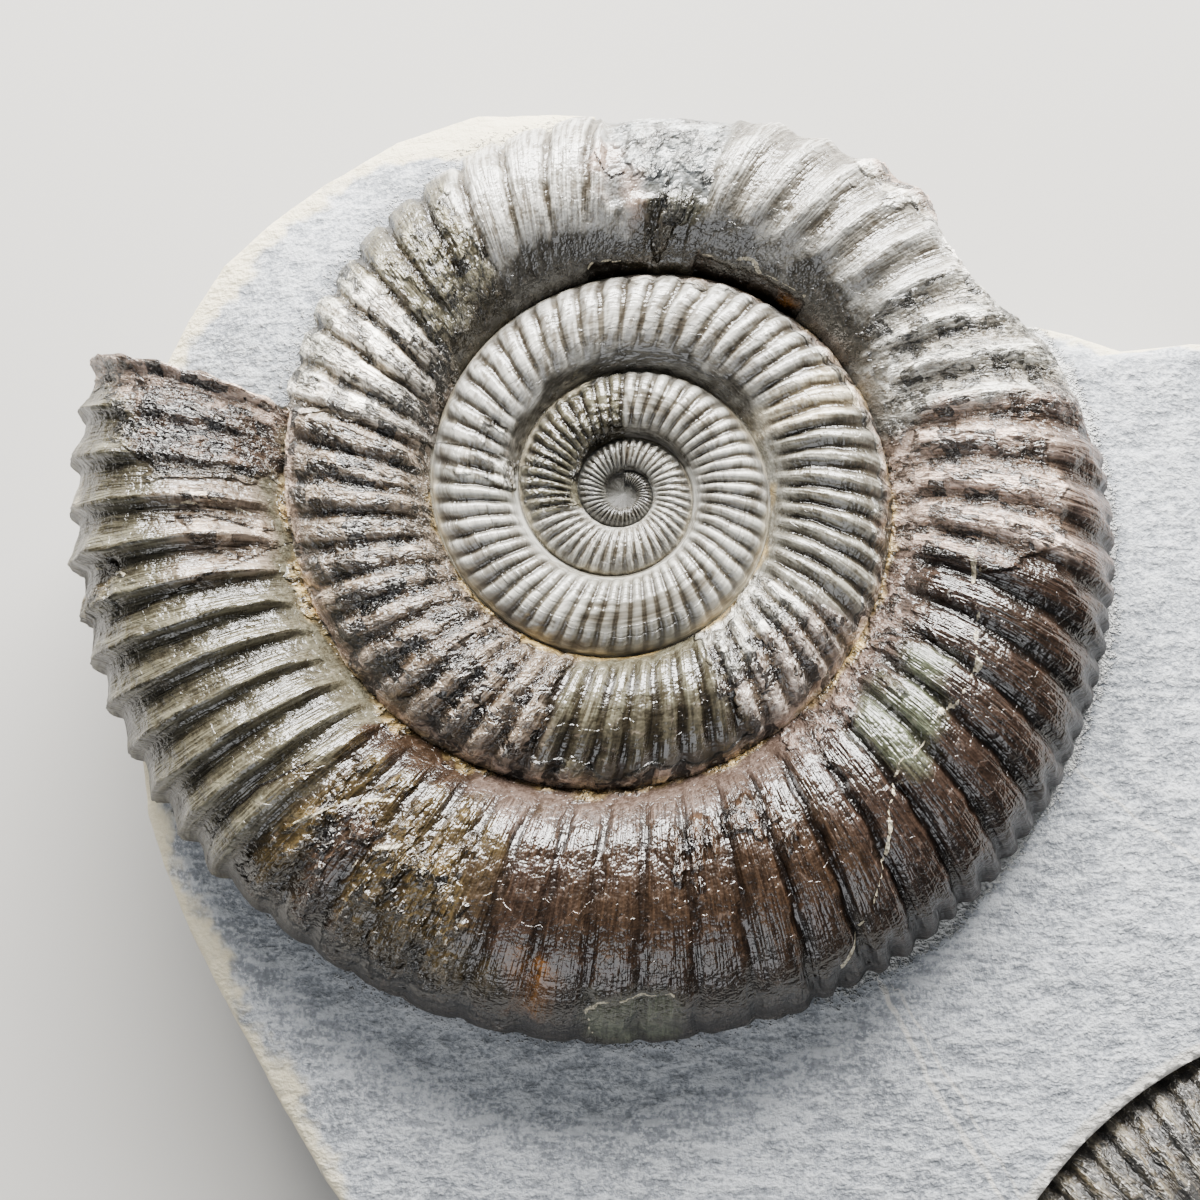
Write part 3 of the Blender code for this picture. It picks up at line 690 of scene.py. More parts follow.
def matrix_mesh():
    """The slab before the second ammonite's pocket is cut: its top meets the shell and dips under it."""
    corners = [math.degrees(math.atan2(x, y)) % 360 for x, y, _ in OUTLINE]
    even = np.arange(ROCK_COLUMNS) * 360 / ROCK_COLUMNS
    gap = np.abs((even[:, None] - np.array(corners)[None] + 180) % 360 - 180).min(1)
    bearing = np.sort(np.concatenate([corners, even[gap > 0.24]]))
    turned = np.where(bearing > 250, bearing - 360, bearing)
    whorl = np.where(turned > FREE_BEARING, turned, turned + 360)
    meet = straight_between(CONTACT_HEIGHT, turned)
    middle, half, thick, _ = section(whorl)
    far, edge = outline_at(bearing)
    contact = np.degrees(np.arcsin(np.clip(meet / thick, -0.95, 0.95)))
    room = np.clip((far - NARROWEST_RIM - middle) / half, -0.9, 1)
    squeezed = far - NARROWEST_RIM < middle + half * np.cos(np.radians(contact))
    contact = np.where(squeezed, np.minimum(contact, -np.degrees(np.arccos(room))), contact)
    limit = straight_between(BROKEN_EDGE, turned)
    columns = []
    # under the shell, following its section, 0.3 mm inside it
    for k in range(7, -1, -1):
        angle = contact + (-90 - contact) * k / 7
        r, z, _, _ = on_section(whorl, angle, -0.3)
        columns.append((np.minimum(r, limit - 0.5), z, 0.0))
    r0, z0 = columns[-1][0], columns[-1][1]
    drop = np.clip((far - r0) / 4, 0, 1)
    for k in range(1, ROCK_TOP_ROWS + 1):
        t = (k / ROCK_TOP_ROWS) ** 1.25
        r = r0 + (far - 0.9 - r0) * t
        start = np.where(squeezed, z0, np.maximum(z0, np.minimum(meet, edge + 3.5)))
        z = start + (edge - 0.55 - start) * t + 0.25 * np.sin(np.pi * t) * drop
        inside = np.clip((r - middle) / half, -1, 1)
        below = -thick * np.sqrt(1 - inside**2)
        hollow = squeezed & (r < middle + half)
        z = np.where(hollow, np.minimum(z, below - 0.05), z)
        columns.append((r, z, 1.0))
    top_r, top_z = columns[-1][0], columns[-1][1]
    side_top = np.minimum(edge, top_z + 0.55)
    for out, down in ((-0.45, 0.75), (-0.12, 1.3), (0.0, 2.0)):
        columns.append((far + out, side_top - down, 0.8))
    for k in range(1, 22):
        z = side_top - 2.0 + (BLOCK_UNDERSIDE + 1.5 - side_top + 2.0) * k / 21
        columns.append((far + 0.2 * math.sin(math.pi * k / 21) - 0.4 * (k / 21) ** 2, z, 1.6))
    for out, up in ((-0.9, 0.9), (-1.4, 0.35), (-2.0, 0.0)):
        columns.append((far + out, BLOCK_UNDERSIDE + up + 0 * far, 0.3 if up else 0.0))
    columns.append((far * 0.5, BLOCK_UNDERSIDE + 0 * far, 0.0))
    count, rows = len(bearing), len(columns)
    radius = np.stack([c[0] for c in columns], 1)
    height = np.stack([c[1] for c in columns], 1)
    rough = np.tile([c[2] for c in columns], (count, 1))
    points = place(np.repeat(bearing[:, None], rows, 1), radius, height).reshape(-1, 3)
    number = np.arange(count * rows).reshape(count, rows)
    top, bottom = count * rows, count * rows + 1
    faces = []
    for i in range(count):
        m = (i + 1) % count
        faces += strip_faces(number[i], number[m])
        faces += [(number[i, 0], number[m, 0], top), (number[i, -1], number[m, -1], bottom)]
    points = np.concatenate([points, [(0, 0, -9.0), (0, 0, BLOCK_UNDERSIDE)]])
    rough = np.concatenate([rough.ravel(), [0, 0]])
    hidden = np.where(np.tile(np.arange(rows) < 8, count), 0.0, 1.0)
    rough *= np.concatenate([hidden, [0, 0]])
    return make_mesh("matrix_block", points, faces, {"rough": rough})


def rock_attributes(mesh):
    """Marks rock zones by place: rind, fringe beside the shell, rim of the second ammonite and the veins."""
    count = len(mesh.vertices)
    co = np.empty(count * 3, np.float32)
    mesh.vertices.foreach_get("co", co)
    points = co.reshape(-1, 3) / MM - PLACE
    radius = np.hypot(points[:, 0], points[:, 1])
    bearing = np.degrees(np.arctan2(points[:, 0], points[:, 1])) % 360
    far, edge = outline_at(bearing)
    # how far in from the block's top edge, along its top or down its side
    inside = far - radius + 0.7 * np.maximum(0, edge - 1.2 - points[:, 2])
    turned = np.where(bearing > 250, bearing - 360, bearing)
    whorl = np.where(turned > FREE_BEARING, turned, turned + 360)
    middle, half, _, _ = section(whorl)
    jag = 1.2 * lumps(points, 4.0) + 0.6 * lumps(points, 1.3, 2.0)
    rind = np.clip(1 - (inside + jag) / 4.5, 0, 1) * np.clip(
        band(turned, -78, 34, 12) + 0.8 * band(bearing, 198, 250, 10) + 0.9 * band(bearing, 60, 82, 6), 0, 1
    )
    rind = np.clip(rind + band(turned, -30, 24, 10) * np.clip(1 - (inside + jag - 3) / 3, 0, 1), 0, 1)
    fringe = np.clip(1 - (radius - middle - half + 0.5 * jag - 0.4) / 1.6, 0, 1) * (
        0.35 + 0.65 * band(bearing, 62, 155, 12)
    )
    second = SECOND_RADIUS + SECOND_HALF_HEIGHT - np.hypot(
        points[:, 0] - SECOND_CENTRE[0], points[:, 1] - SECOND_CENTRE[1]
    )
    marks = {"rind": rind, "fringe": fringe, "second_rim": second}
    for k, line in enumerate(ROCK_VEINS):
        wander = 0.25 * lumps(points, 1.5, 4.0 + k)
        marks[f"vein_{k}"] = np.clip(signed_distance(points[:, :2] + wander[:, None], line), -FAR, FAR)
    store(mesh, marks)


def store(mesh, marks):
    """Keeps one value at each point of a mesh under each name."""
    for key, values in marks.items():
        mesh.attributes.new(key, "FLOAT", "POINT").data.foreach_set("value", np.asarray(values, np.float32))


def second_point(bearing, angle, lift=0.0):
    c, s = np.cos(np.radians(angle)), np.sin(np.radians(angle))
    thick = np.where(s > 0, SECOND_HALF_THICKNESS, SECOND_DEPTH)
    radius = SECOND_RADIUS + (SECOND_HALF_HEIGHT + lift) * c
    point = place(bearing, radius, SECOND_AXIS_HEIGHT + (thick + lift) * s)
    return point + np.array((*SECOND_CENTRE, 0.0))


def tube_faces(count, rows):
    number = np.arange(count * rows).reshape(count, rows)
    faces = []
    for left, right in zip(number, number[1:]):
        faces += strip_faces(list(left) + [left[0]], list(right) + [right[0]])
    return faces + [tuple(number[0]), tuple(number[-1])]


def second_mesh():
    """The second ammonite's whorl, before it's cut off at the block's sides."""
    count, rows = 330, 96
    bearing = np.linspace(*SECOND_BEARINGS, count)
    angle = np.linspace(-110, 250, rows, endpoint=False)
    b, a = np.repeat(bearing, rows), np.tile(angle, count)
    points = second_point(b, a)
    c, s = np.cos(np.radians(a)), np.sin(np.radians(a))
    turn = np.radians(b)
    outward = np.stack([c * np.sin(turn), c * np.cos(turn), s], -1)
    tint = np.tile(np.array(named("olive brown")), (len(b), 1))
    light = (0.5 + 0.5 * lumps(points, 3.0))[:, None] * 0.6
    tint = tint * (1 - light) + np.array(named("slate")) * light
    values = {
        "rib": (b - SECOND_BEARINGS[0]) / SECOND_RIB_DEG + 0.012 * a,
        "half": np.full(len(b), 6.0 * MM),
        "ribbing": band(a, -20, 190, 30), "furrow": np.full(len(b), 0.45), "split": 0 * b,
        "leaves": np.full(len(b), 0.55), "lift": 0 * b, "outward": outward,
        "unrolled": np.stack([np.radians(b) * 30, np.radians(a) * 8, 0 * b + 400], -1),
        "tint": tint, "across": np.clip(a / 90, 0, 1), "crack": 0 * b + FAR, "calcite": 0 * b + FAR,
        "sharp": 0 * b,
    }
    return make_mesh("second_ammonite_shell", points, tube_faces(count, rows), values)


def block_sides():
    """An upright prism just inside the block's sides."""
    outline = np.array(OUTLINE)[:, :2]
    toward = outline.mean(0) - outline
    shrunk = outline + toward / np.linalg.norm(toward, axis=1)[:, None] * SECOND_ROCK_CUT
    rings = [np.column_stack([shrunk, np.full(len(shrunk), z)]) for z in (BLOCK_UNDERSIDE + 3, 14.0)]
    made = make_mesh("block_sides", np.concatenate(rings), tube_faces(2, len(shrunk)))
    made.shade_flat()
    return made


def second_pocket():
    count, rows = 60, 48
    bearing = np.linspace(SECOND_BEARINGS[0] - 1, SECOND_BEARINGS[1] + 1, count)
    angle = np.linspace(-110, 250, rows, endpoint=False)
    points = second_point(np.repeat(bearing, rows), np.tile(angle, count), 0.12)
    points[:, 2] = np.where(points[:, 2] > SECOND_AXIS_HEIGHT, points[:, 2] + 6, points[:, 2])
    return make_mesh("second_pocket", points, tube_faces(count, rows))


def cut(target, cutter_mesh, operation):
    """Applies one Boolean to an object and removes the cutter."""
    cutter = make_object(cutter_mesh.name, cutter_mesh)
    modifier = target.modifiers.new(operation, "BOOLEAN")
    modifier.object, modifier.operation, modifier.solver = cutter, operation, "EXACT"
    if cutter_mesh.materials:
        modifier.material_mode = "TRANSFER"
    take_shape(target)
    bpy.data.objects.remove(cutter, do_unlink=True)


def take_shape(made):
    """Turns an object's modifiers into its plain mesh."""
    graph = bpy.context.evaluated_depsgraph_get()
    graph.update()
    mesh = bpy.data.meshes.new_from_object(made.evaluated_get(graph), depsgraph=graph)
    made.modifiers.clear()
    old, made.data = made.data, mesh
    mesh.name = made.name
    bpy.data.meshes.remove(old)
    return mesh


# ---------------------------------------------------------------- relief, by Geometry Nodes


LEAF_COUNT = 11.0


def leaf_levels(tree, field):
    """Terraces of a smooth field: share of the way up, and how far across its own leaf each point is."""
    math_node, ramp, _ = steps_on(tree)
    tall = math_node("MULTIPLY", field, LEAF_COUNT)
    part = math_node("FRACT", tall)
    level = math_node("ADD", math_node("FLOOR", tall), ramp(part, 0.7, 1.0))
    return math_node("DIVIDE", level, LEAF_COUNT), part


def new_tree(name, sizes):
    """A tree that takes a mesh, sizes with these defaults and a material, and the node of those inputs."""
    tree = bpy.data.node_groups.new(name, "GeometryNodeTree")
    face = tree.interface
    face.new_socket("Geometry", in_out="INPUT", socket_type="NodeSocketGeometry")
    for label, value in sizes.items():
        face.new_socket(label, in_out="INPUT", socket_type="NodeSocketFloat").default_value = value
    face.new_socket("Material", in_out="INPUT", socket_type="NodeSocketMaterial")
    face.new_socket("Geometry", in_out="OUTPUT", socket_type="NodeSocketGeometry")
    return tree, add(tree, "NodeGroupInput")


def end_tree(tree, given, last):
    """Ends a tree in real geometry with its material on it."""
    real = add(tree, "GeometryNodeRealizeInstances", {"Geometry": last.outputs[0]})
    dressed = add(
        tree, "GeometryNodeSetMaterial",
        {"Geometry": real.outputs[0], "Material": given.outputs["Material"]},
    )
    add(tree, "NodeGroupOutput", (dressed.outputs[0],))
    return tree


def shell_tree():
    """Ribs, split rib ends, flaking leaves and grain, laid over a smooth whorl."""
    tree, given = new_tree(
        "Ribbed shell", {"Rib Height": 0.085, "Leaf Step": 0.0009, "Grain": 0.00004, "Seed": 3.0}
    )
    math_node, ramp, _ = steps_on(tree)

    def read(name, kind="FLOAT"):
        node = add(tree, "GeometryNodeInputNamedAttribute", {"Name": name}, data_type=kind)
        return node.outputs["Attribute"]

    unrolled, outward = read("unrolled", "FLOAT_VECTOR"), read("outward", "FLOAT_VECTOR")
    wave = add(
        tree, "ShaderNodeTexNoise",
        {"Vector": unrolled, "Scale": 0.35, "Detail": 2.0, "Roughness": 0.5},
    ).outputs[0]
    wobble = math_node("MULTIPLY", math_node("SUBTRACT", wave, 0.5), 0.35)
    rib = math_node("ADD", read("rib"), wobble)
    near = math_node("PINGPONG", rib, 0.5)
    single = ramp(near, 0.0, read("furrow"))
    double = ramp(math_node("PINGPONG", math_node("MULTIPLY", rib, 2.0), 0.5), 0.0, 0.42)
    split = add(tree, "ShaderNodeMix", (read("split"), None, single, double), data_type="FLOAT").outputs[0]
    round_top = math_node("MULTIPLY_ADD", math_node("SINE", math_node("MULTIPLY", near, math.pi)), 0.3, 0.7)
    # no two ribs are equally strong
    each = add(
        tree, "ShaderNodeTexWhiteNoise", {"W": math_node("FLOOR", rib)}, noise_dimensions="1D"
    ).outputs["Value"]
    ridge = math_node("POWER", math_node("MULTIPLY", near, 2.0), 2.3)
    profile = add(
        tree, "ShaderNodeMix", (read("sharp"), None, math_node("MULTIPLY", split, round_top), ridge),
        data_type="FLOAT",
    ).outputs[0]
    crest = math_node("MULTIPLY", profile, math_node("MULTIPLY_ADD", each, 0.35, 0.75))
    size = math_node("MULTIPLY", read("half"), given.outputs["Rib Height"])
    ribs = math_node("MULTIPLY", math_node("MULTIPLY", crest, size), read("ribbing"))
    stretched = add(tree, "ShaderNodeVectorMath", (unrolled, (0.5, 0.3, 1.0)), operation="MULTIPLY")
    field = add(
        tree, "ShaderNodeTexNoise",
        {"Vector": stretched.outputs[0], "Scale": 1.0, "Detail": 5.0, "Roughness": 0.62, "Distortion": 0.25},
    ).outputs[0]
    level, _ = leaf_levels(tree, field)
    leaf = math_node("MULTIPLY", math_node("SUBTRACT", level, 0.5), given.outputs["Leaf Step"])
    leaf = math_node("MULTIPLY", leaf, read("leaves"))
    fine = add(
        tree, "ShaderNodeTexNoise",
        {"Vector": unrolled, "Scale": 1.6, "Detail": 4.0, "Roughness": 0.6, "W": given.outputs["Seed"]},
        noise_dimensions="4D",
    ).outputs[0]
    grain = math_node("MULTIPLY", math_node("SUBTRACT", fine, 0.5), given.outputs["Grain"])
    rougher = math_node("MULTIPLY", grain, math_node("MULTIPLY_ADD", read("leaves"), 4.0, 1.0))
    height = math_node("ADD", math_node("ADD", ribs, leaf), math_node("ADD", rougher, read("lift")))
    offset = add(tree, "ShaderNodeVectorMath", {0: outward, "Scale": height}, operation="SCALE").outputs[0]
    moved = add(tree, "GeometryNodeSetPosition", {"Geometry": given.outputs["Geometry"], "Offset": offset})
    blotches = add(
        tree, "ShaderNodeTexNoise", {"Vector": unrolled, "Scale": 0.5, "Detail": 4.0, "Roughness": 0.6}
    ).outputs[0]
    warp = add(
        tree, "ShaderNodeTexNoise", {"Vector": unrolled, "Scale": 0.9, "Detail": 2.0, "Roughness": 0.6}
    ).outputs[1]
    warped = add(
        tree, "ShaderNodeVectorMath", {0: warp, 1: (1.6, 1.6, 1.6), 2: unrolled}, operation="MULTIPLY_ADD"
    ).outputs[0]
    # what the finish follows, kept at each point
    kept = moved
    for name, kind, value in (
        ("crest", "FLOAT", crest), ("leafing", "FLOAT", field), ("mottle", "FLOAT", blotches),
        ("warped", "FLOAT_VECTOR", warped),
    ):
        kept = add(
            tree, "GeometryNodeStoreNamedAttribute",
            {"Geometry": kept.outputs[0], "Name": name, "Value": value}, data_type=kind, domain="POINT",
        )
    return end_tree(tree, given, kept)


def rock_tree():
    """Broken, weathered mudstone: gentle lumps, chips along the edges and bedding on the sides."""
    tree, given = new_tree(
        "Weathered mudstone", {"Lump Height": 0.0008, "Chip Depth": 0.0007, "Grain": 0.0001, "Seed": 5.0}
    )
    math_node, _, _ = steps_on(tree)
    place_node = add(tree, "GeometryNodeInputPosition").outputs[0]
    normal = add(tree, "GeometryNodeInputNormal").outputs[0]
    rough = add(tree, "GeometryNodeInputNamedAttribute", {"Name": "rough"}).outputs["Attribute"]

    def field(scale, detail, squash=(1.0, 1.0, 1.0)):
        where = add(tree, "ShaderNodeVectorMath", (place_node, squash), operation="MULTIPLY").outputs[0]
        made = add(
            tree, "ShaderNodeTexNoise",
            {"Vector": where, "Scale": scale, "Detail": detail, "Roughness": 0.55,
             "W": given.outputs["Seed"]},
            noise_dimensions="4D",
        ).outputs[0]
        return math_node("SUBTRACT", made, 0.5)

    gentle = math_node("MULTIPLY", field(90.0, 3.0), given.outputs["Lump Height"])
    beds = math_node("MULTIPLY", field(160.0, 5.0, (1.0, 1.0, 2.6)), given.outputs["Chip Depth"])
    on_side = add(
        tree, "ShaderNodeMapRange", {"Value": rough, "From Min": 1.0, "From Max": 1.6, "To Max": 1.5}
    ).outputs[0]
    fine = math_node("MULTIPLY", field(1100.0, 3.0), given.outputs["Grain"])
    height = math_node("ADD", math_node("ADD", gentle, math_node("MULTIPLY", beds, on_side)), fine)
    height = math_node("MULTIPLY", height, math_node("MINIMUM", rough, 1.0))
    offset = add(tree, "ShaderNodeVectorMath", {0: normal, "Scale": height}, operation="SCALE").outputs[0]
    moved = add(tree, "GeometryNodeSetPosition", {"Geometry": given.outputs["Geometry"], "Offset": offset})
    return end_tree(tree, given, moved)


def run_tree(made, tree, values):
    """Puts a node tree on an object with its inputs set, and keeps the result as a plain mesh."""
    modifier = made.modifiers.new(tree.name, "NODES")
    modifier.node_group = tree
    for item in tree.interface.items_tree:
        if item.in_out == "INPUT" and item.name in values:
            modifier[item.identifier] = values[item.name]
    return take_shape(made)


# ---------------------------------------------------------------- finishes


def new_material(name):
    material = bpy.data.materials.new(name)
    material.use_nodes = True
    material.node_tree.nodes.clear()
    return material, material.node_tree


def end_material(material, base, roughness, specular, bumps, depth):
    """Ends a finish in its shader, with relief of that depth in metres."""
    tree = material.node_tree
    bump = add(tree, "ShaderNodeBump", {"Strength": 1.0, "Distance": depth, "Height": bumps})
    shader = add(
        tree, "ShaderNodeBsdfPrincipled",
        {"Base Color": base, "Roughness": roughness, "Normal": bump.outputs[0],
         "Specular IOR Level": specular},
    )
    add(tree, "ShaderNodeOutputMaterial", (shader.outputs[0],))
    return material


def shell_material(name, gloss, brightness):
    """Fossil shell and its filling, cleaned and waxed: glossy crests worn pale and given a painted highlight,
    painted shade and a dark film in the furrows.
    """
    material, tree = new_material(name)
    math_node, ramp, blend = steps_on(tree)

    def read(attribute, output="Fac"):
        return add(tree, "ShaderNodeAttribute", attribute_name=attribute).outputs[output]

    unrolled, warped = read("unrolled", "Vector"), read("warped", "Vector")
    leaves, crest, ribbing, mottle, field = (
        read(name) for name in ("leaves", "crest", "ribbing", "mottle", "leafing")
    )
    level, part = leaf_levels(tree, field)

    def speckle(at, stretch, detail, roughness=0.6):
        where = add(tree, "ShaderNodeVectorMath", (at, stretch), operation="MULTIPLY").outputs[0]
        return add(
            tree, "ShaderNodeTexNoise",
            {"Vector": where, "Scale": 1.0, "Detail": detail, "Roughness": roughness},
        ).outputs[0]

    fine = speckle(unrolled, (4.0, 4.0, 4.0), 1.0)  # specks of about 0.25 mm
    patina = speckle(unrolled, (1.2, 1.2, 1.2), 2.0, 0.68)  # spots of about 0.8 mm
    # growth lines along the ribs, about 0.26 mm apart, which fade where the ribs do
    striae = speckle(unrolled, (3.8, 0.28, 1.0), 1.0)
    striae = math_node("MULTIPLY_ADD", math_node("SUBTRACT", striae, 0.5), ribbing, 0.5)
    # crumpled shell, with creases about 0.35 mm apart and 1 mm long
    crumple = speckle(warped, (2.8, 1.0, 1.0), 2.0, 0.7)
    # splinters of shell about 1.2 mm long: each has its own shade and stands at its own height
    where = add(tree, "ShaderNodeVectorMath", (warped, (1.1, 0.7, 1.0)), operation="MULTIPLY").outputs[0]
    cell = add(tree, "ShaderNodeVectorMath", (where,), operation="FLOOR").outputs[0]
    chance = add(tree, "ShaderNodeTexWhiteNoise", {"Vector": cell}).outputs["Value"]
    # each splinter's tone comes from its own chance and leaf height; the crumple's creases add painted glints
    # and painted shade to it
    tone_and_glints_at = math_node("ADD", math_node("MULTIPLY", chance, 0.35), math_node("MULTIPLY", level, 0.35))
    tone_and_glints_at = math_node("MULTIPLY_ADD", crumple, 0.6, tone_and_glints_at)
    # base colour: the zone's own, with the crests lightened by wear and a painted highlight, and painted
    # shade with a dark film in the furrows
    base = blend(1.0, read("tint", "Color"), (brightness, brightness, brightness, 1.0), "MULTIPLY")
    pale = blend(1.0, base, PALE_WEAR_AND_HIGHLIGHT, "MULTIPLY")
    dark = blend(1.0, base, DARK_FILM_AND_SHADE, "MULTIPLY")
    # the crests lightened: partly wear, partly a painted highlight
    top = math_node("MULTIPLY", ramp(crest, 0.55, 1.0), ribbing)
    base = blend(math_node("MULTIPLY", top, 0.35), base, pale)
    base = blend(math_node("MULTIPLY", ramp(mottle, 0.56, 0.4), 0.6), base, dark)
    base = blend(math_node("MULTIPLY", ramp(patina, 0.5, 0.36), 0.65), base, dark)
    base = blend(math_node("MULTIPLY", ramp(patina, 0.52, 0.66), 0.6), base, pale)
    base = blend(math_node("MULTIPLY", ramp(fine, 0.52, 0.68), 0.5), base, pale)
    base = blend(math_node("MULTIPLY", ramp(striae, 0.49, 0.38), 0.65), base, dark)
    base = blend(math_node("MULTIPLY", ramp(striae, 0.51, 0.62), 0.75), base, pale)
    # edges where the outermost leaf of shell ends, chipped pale
    leaf = ramp(mottle, 0.525, 0.545)
    chip = math_node("MULTIPLY", ramp(mottle, 0.505, 0.52), ramp(mottle, 0.55, 0.535))
    base = blend(math_node("MULTIPLY", chip, ramp(patina, 0.5, 0.62, 0.0, 0.12)), base, named("rose flake"))
    shade = ramp(tone_and_glints_at, 0.48, 0.82, 0.06, 2.9)
    shaded = add(tree, "ShaderNodeVectorMath", {0: base, "Scale": shade}, operation="SCALE").outputs[0]
    cover = ramp(math_node("ADD", leaves, math_node("SUBTRACT", field, 0.5)), 0.35, 0.5)
    base = blend(math_node("MULTIPLY", cover, 0.9), base, shaded)
    lip = math_node("MULTIPLY", cover, math_node("MULTIPLY", ramp(part, 0.8, 0.9), ramp(fine, 0.42, 0.56)))
    base = blend(math_node("MULTIPLY", lip, 0.4), base, named("white flake"))
    # painted shadow just past each leaf's raised edge
    leaf_edge_shadow = math_node("MULTIPLY", cover, ramp(part, 0.14, 0.0))
    base = blend(math_node("MULTIPLY", leaf_edge_shadow, 0.7), base, dark)
    # the furrows darkened: painted shade, with a dark film
    hollow = math_node("MULTIPLY", ramp(crest, 0.62, 0.16), ribbing)
    hollow = math_node("MULTIPLY", hollow, math_node("MULTIPLY_ADD", read("sharp"), -0.4, 0.9))
    base = blend(hollow, base, blend(1.0, base, FURROW_SHADE_AND_FILM, "MULTIPLY"))
    # lines across the shell
    vein = math_node("LESS_THAN", read("calcite"), math_node("MULTIPLY_ADD", mottle, 0.55, -0.2))
    base = blend(math_node("MULTIPLY", vein, ramp(fine, 0.35, 0.6, 0.2, 0.75)), base, named("cream"))
    crack = ramp(read("crack"), 0.14, 0.06)
    base = blend(crack, base, named("black brown"))
    shine = math_node("MULTIPLY_ADD", patina, 0.16, gloss)
    shine = math_node("ADD", shine, ramp(read("across"), 0.72, 1.0, 0.0, 0.5))  # unpolished outer side
    steps = math_node("MULTIPLY_ADD", crumple, 3.5, math_node("MULTIPLY", level, 2.0))
    steps = math_node("MULTIPLY", steps, cover)
    bumps = math_node("MULTIPLY_ADD", patina, 1.4, math_node("MULTIPLY", leaf, 0.3))
    bumps = math_node("MULTIPLY_ADD", striae, 1.1, bumps)
    bumps = math_node("ADD", bumps, steps)
    bumps = math_node("SUBTRACT", bumps, math_node("MULTIPLY", crack, 1.5))
    bumps = math_node("ADD", bumps, math_node("MULTIPLY", vein, 0.6))
    return end_material(material, base, shine, 0.75, bumps, 0.00014)


def mudstone_material():
    """Mudstone, scraped and air-blasted: matt, fine-grained, with a cream rind and veins of calcite."""
    material, tree = new_material("scraped_mudstone")
    math_node, ramp, blend = steps_on(tree)

    def read(attribute):
        return add(tree, "ShaderNodeAttribute", attribute_name=attribute).outputs["Fac"]

    where = add(tree, "ShaderNodeTexCoord").outputs["Object"]

    def speckle(scale, detail, stretch=(1.0, 1.0, 1.0), roughness=0.6):
        spot = add(tree, "ShaderNodeVectorMath", (where, stretch), operation="MULTIPLY").outputs[0]
        return add(
            tree, "ShaderNodeTexNoise",
            {"Vector": spot, "Scale": scale, "Detail": detail, "Roughness": roughness},
        ).outputs[0]

    cloud = speckle(70.0, 1.0)  # stains of about 14 mm
    blotch = speckle(450.0, 2.0)  # mottling of about 2 mm
    grain = speckle(2600.0, 2.0, roughness=0.7)  # grit of about 0.4 mm
    slanting = add(
        tree, "ShaderNodeMapping", {"Vector": where, "Rotation": (0.0, 0.0, 0.9), "Scale": (1.0, 3.0, 1.0)}
    ).outputs[0]
    scrape = add(tree, "ShaderNodeTexNoise", {"Vector": slanting, "Scale": 420.0, "Detail": 2.0}).outputs[0]
    base = blend(ramp(cloud, 0.3, 0.62, 0.4), named("mudstone dark"), named("mudstone"))
    base = blend(math_node("MULTIPLY", ramp(blotch, 0.48, 0.66), 0.5), base, named("mudstone light"))
    base = blend(math_node("MULTIPLY", ramp(blotch, 0.47, 0.32), 0.6), base, named("mudstone dark"))
    base = blend(math_node("MULTIPLY", ramp(grain, 0.48, 0.66), 0.75), base, named("mudstone light"))
    base = blend(math_node("MULTIPLY", ramp(grain, 0.5, 0.34), 0.7), base, named("mudstone dark"))
    base = blend(math_node("MULTIPLY", ramp(scrape, 0.53, 0.64), 0.5), base, named("mudstone light"))
    base = blend(math_node("MULTIPLY", ramp(scrape, 0.45, 0.33), 0.6), base, named("mudstone dark"))
    # the rind, the scraped fringe beside the shell and the crust round the second ammonite crumble away
    ragged = math_node("SUBTRACT", blotch, 0.5)
    rind = ramp(math_node("MULTIPLY_ADD", ragged, 0.9, read("rind")), 0.3, 0.7)
    base = blend(math_node("MULTIPLY", rind, 0.85), base, named("rind"))
    gritty = math_node("SUBTRACT", grain, 0.5)
    fringe = ramp(math_node("MULTIPLY_ADD", gritty, 1.6, read("fringe")), 0.35, 0.75)
    base = blend(math_node("MULTIPLY", fringe, 0.75), base, named("scraped edge"))
    rim_at = math_node("MULTIPLY_ADD", ragged, 1.2, read("second_rim"))
    crust = math_node("MULTIPLY", ramp(rim_at, -1.3, -0.9), ramp(rim_at, 0.4, 0.0))
    base = blend(math_node("MULTIPLY", crust, 0.75), base, named("crust"))
    for k, (width, strength) in enumerate(((0.32, 0.75), (0.2, 0.5), (0.2, 0.55))):
        line = ramp(math_node("ABSOLUTE", read(f"vein_{k}")), width, width * 0.3)
        broken = math_node("MULTIPLY", line, ramp(blotch, 0.3, 0.55, 0.2, strength))
        base = blend(broken, base, named("white flake"))
    bumps = math_node("ADD", math_node("MULTIPLY", grain, 0.6), math_node("MULTIPLY", blotch, 1.2))
    bumps = math_node("ADD", bumps, math_node("MULTIPLY", scrape, 0.8))
    bumps = math_node("ADD", bumps, math_node("MULTIPLY", math_node("MULTIPLY", fringe, grain), 2.5))
    return end_material(material, base, ramp(blotch, 0.3, 0.7, 0.62, 0.8), 0.35, bumps, 0.0003)


def floor_material():
    """Matt painted board: plain and pale, with the faintest unevenness."""
    material, tree = new_material("pale_board")
    where = add(tree, "ShaderNodeTexCoord").outputs["Object"]
    cloud = add(tree, "ShaderNodeTexNoise", {"Vector": where, "Scale": 6.0, "Detail": 0.0}).outputs[0]
    shade = add(
        tree, "ShaderNodeMix",
        {0: cloud, 6: named("floor"), 7: (*[c * 0.96 for c in linear(HEX["floor"])], 1.0)}, data_type="RGBA",
    ).outputs[2]
    shader = add(
        tree, "ShaderNodeBsdfPrincipled",
        {"Base Color": shade, "Roughness": 0.85, "Specular IOR Level": 0.2},
    )
    add(tree, "ShaderNodeOutputMaterial", (shader.outputs[0],))
    return material


# ---------------------------------------------------------------- the add-on


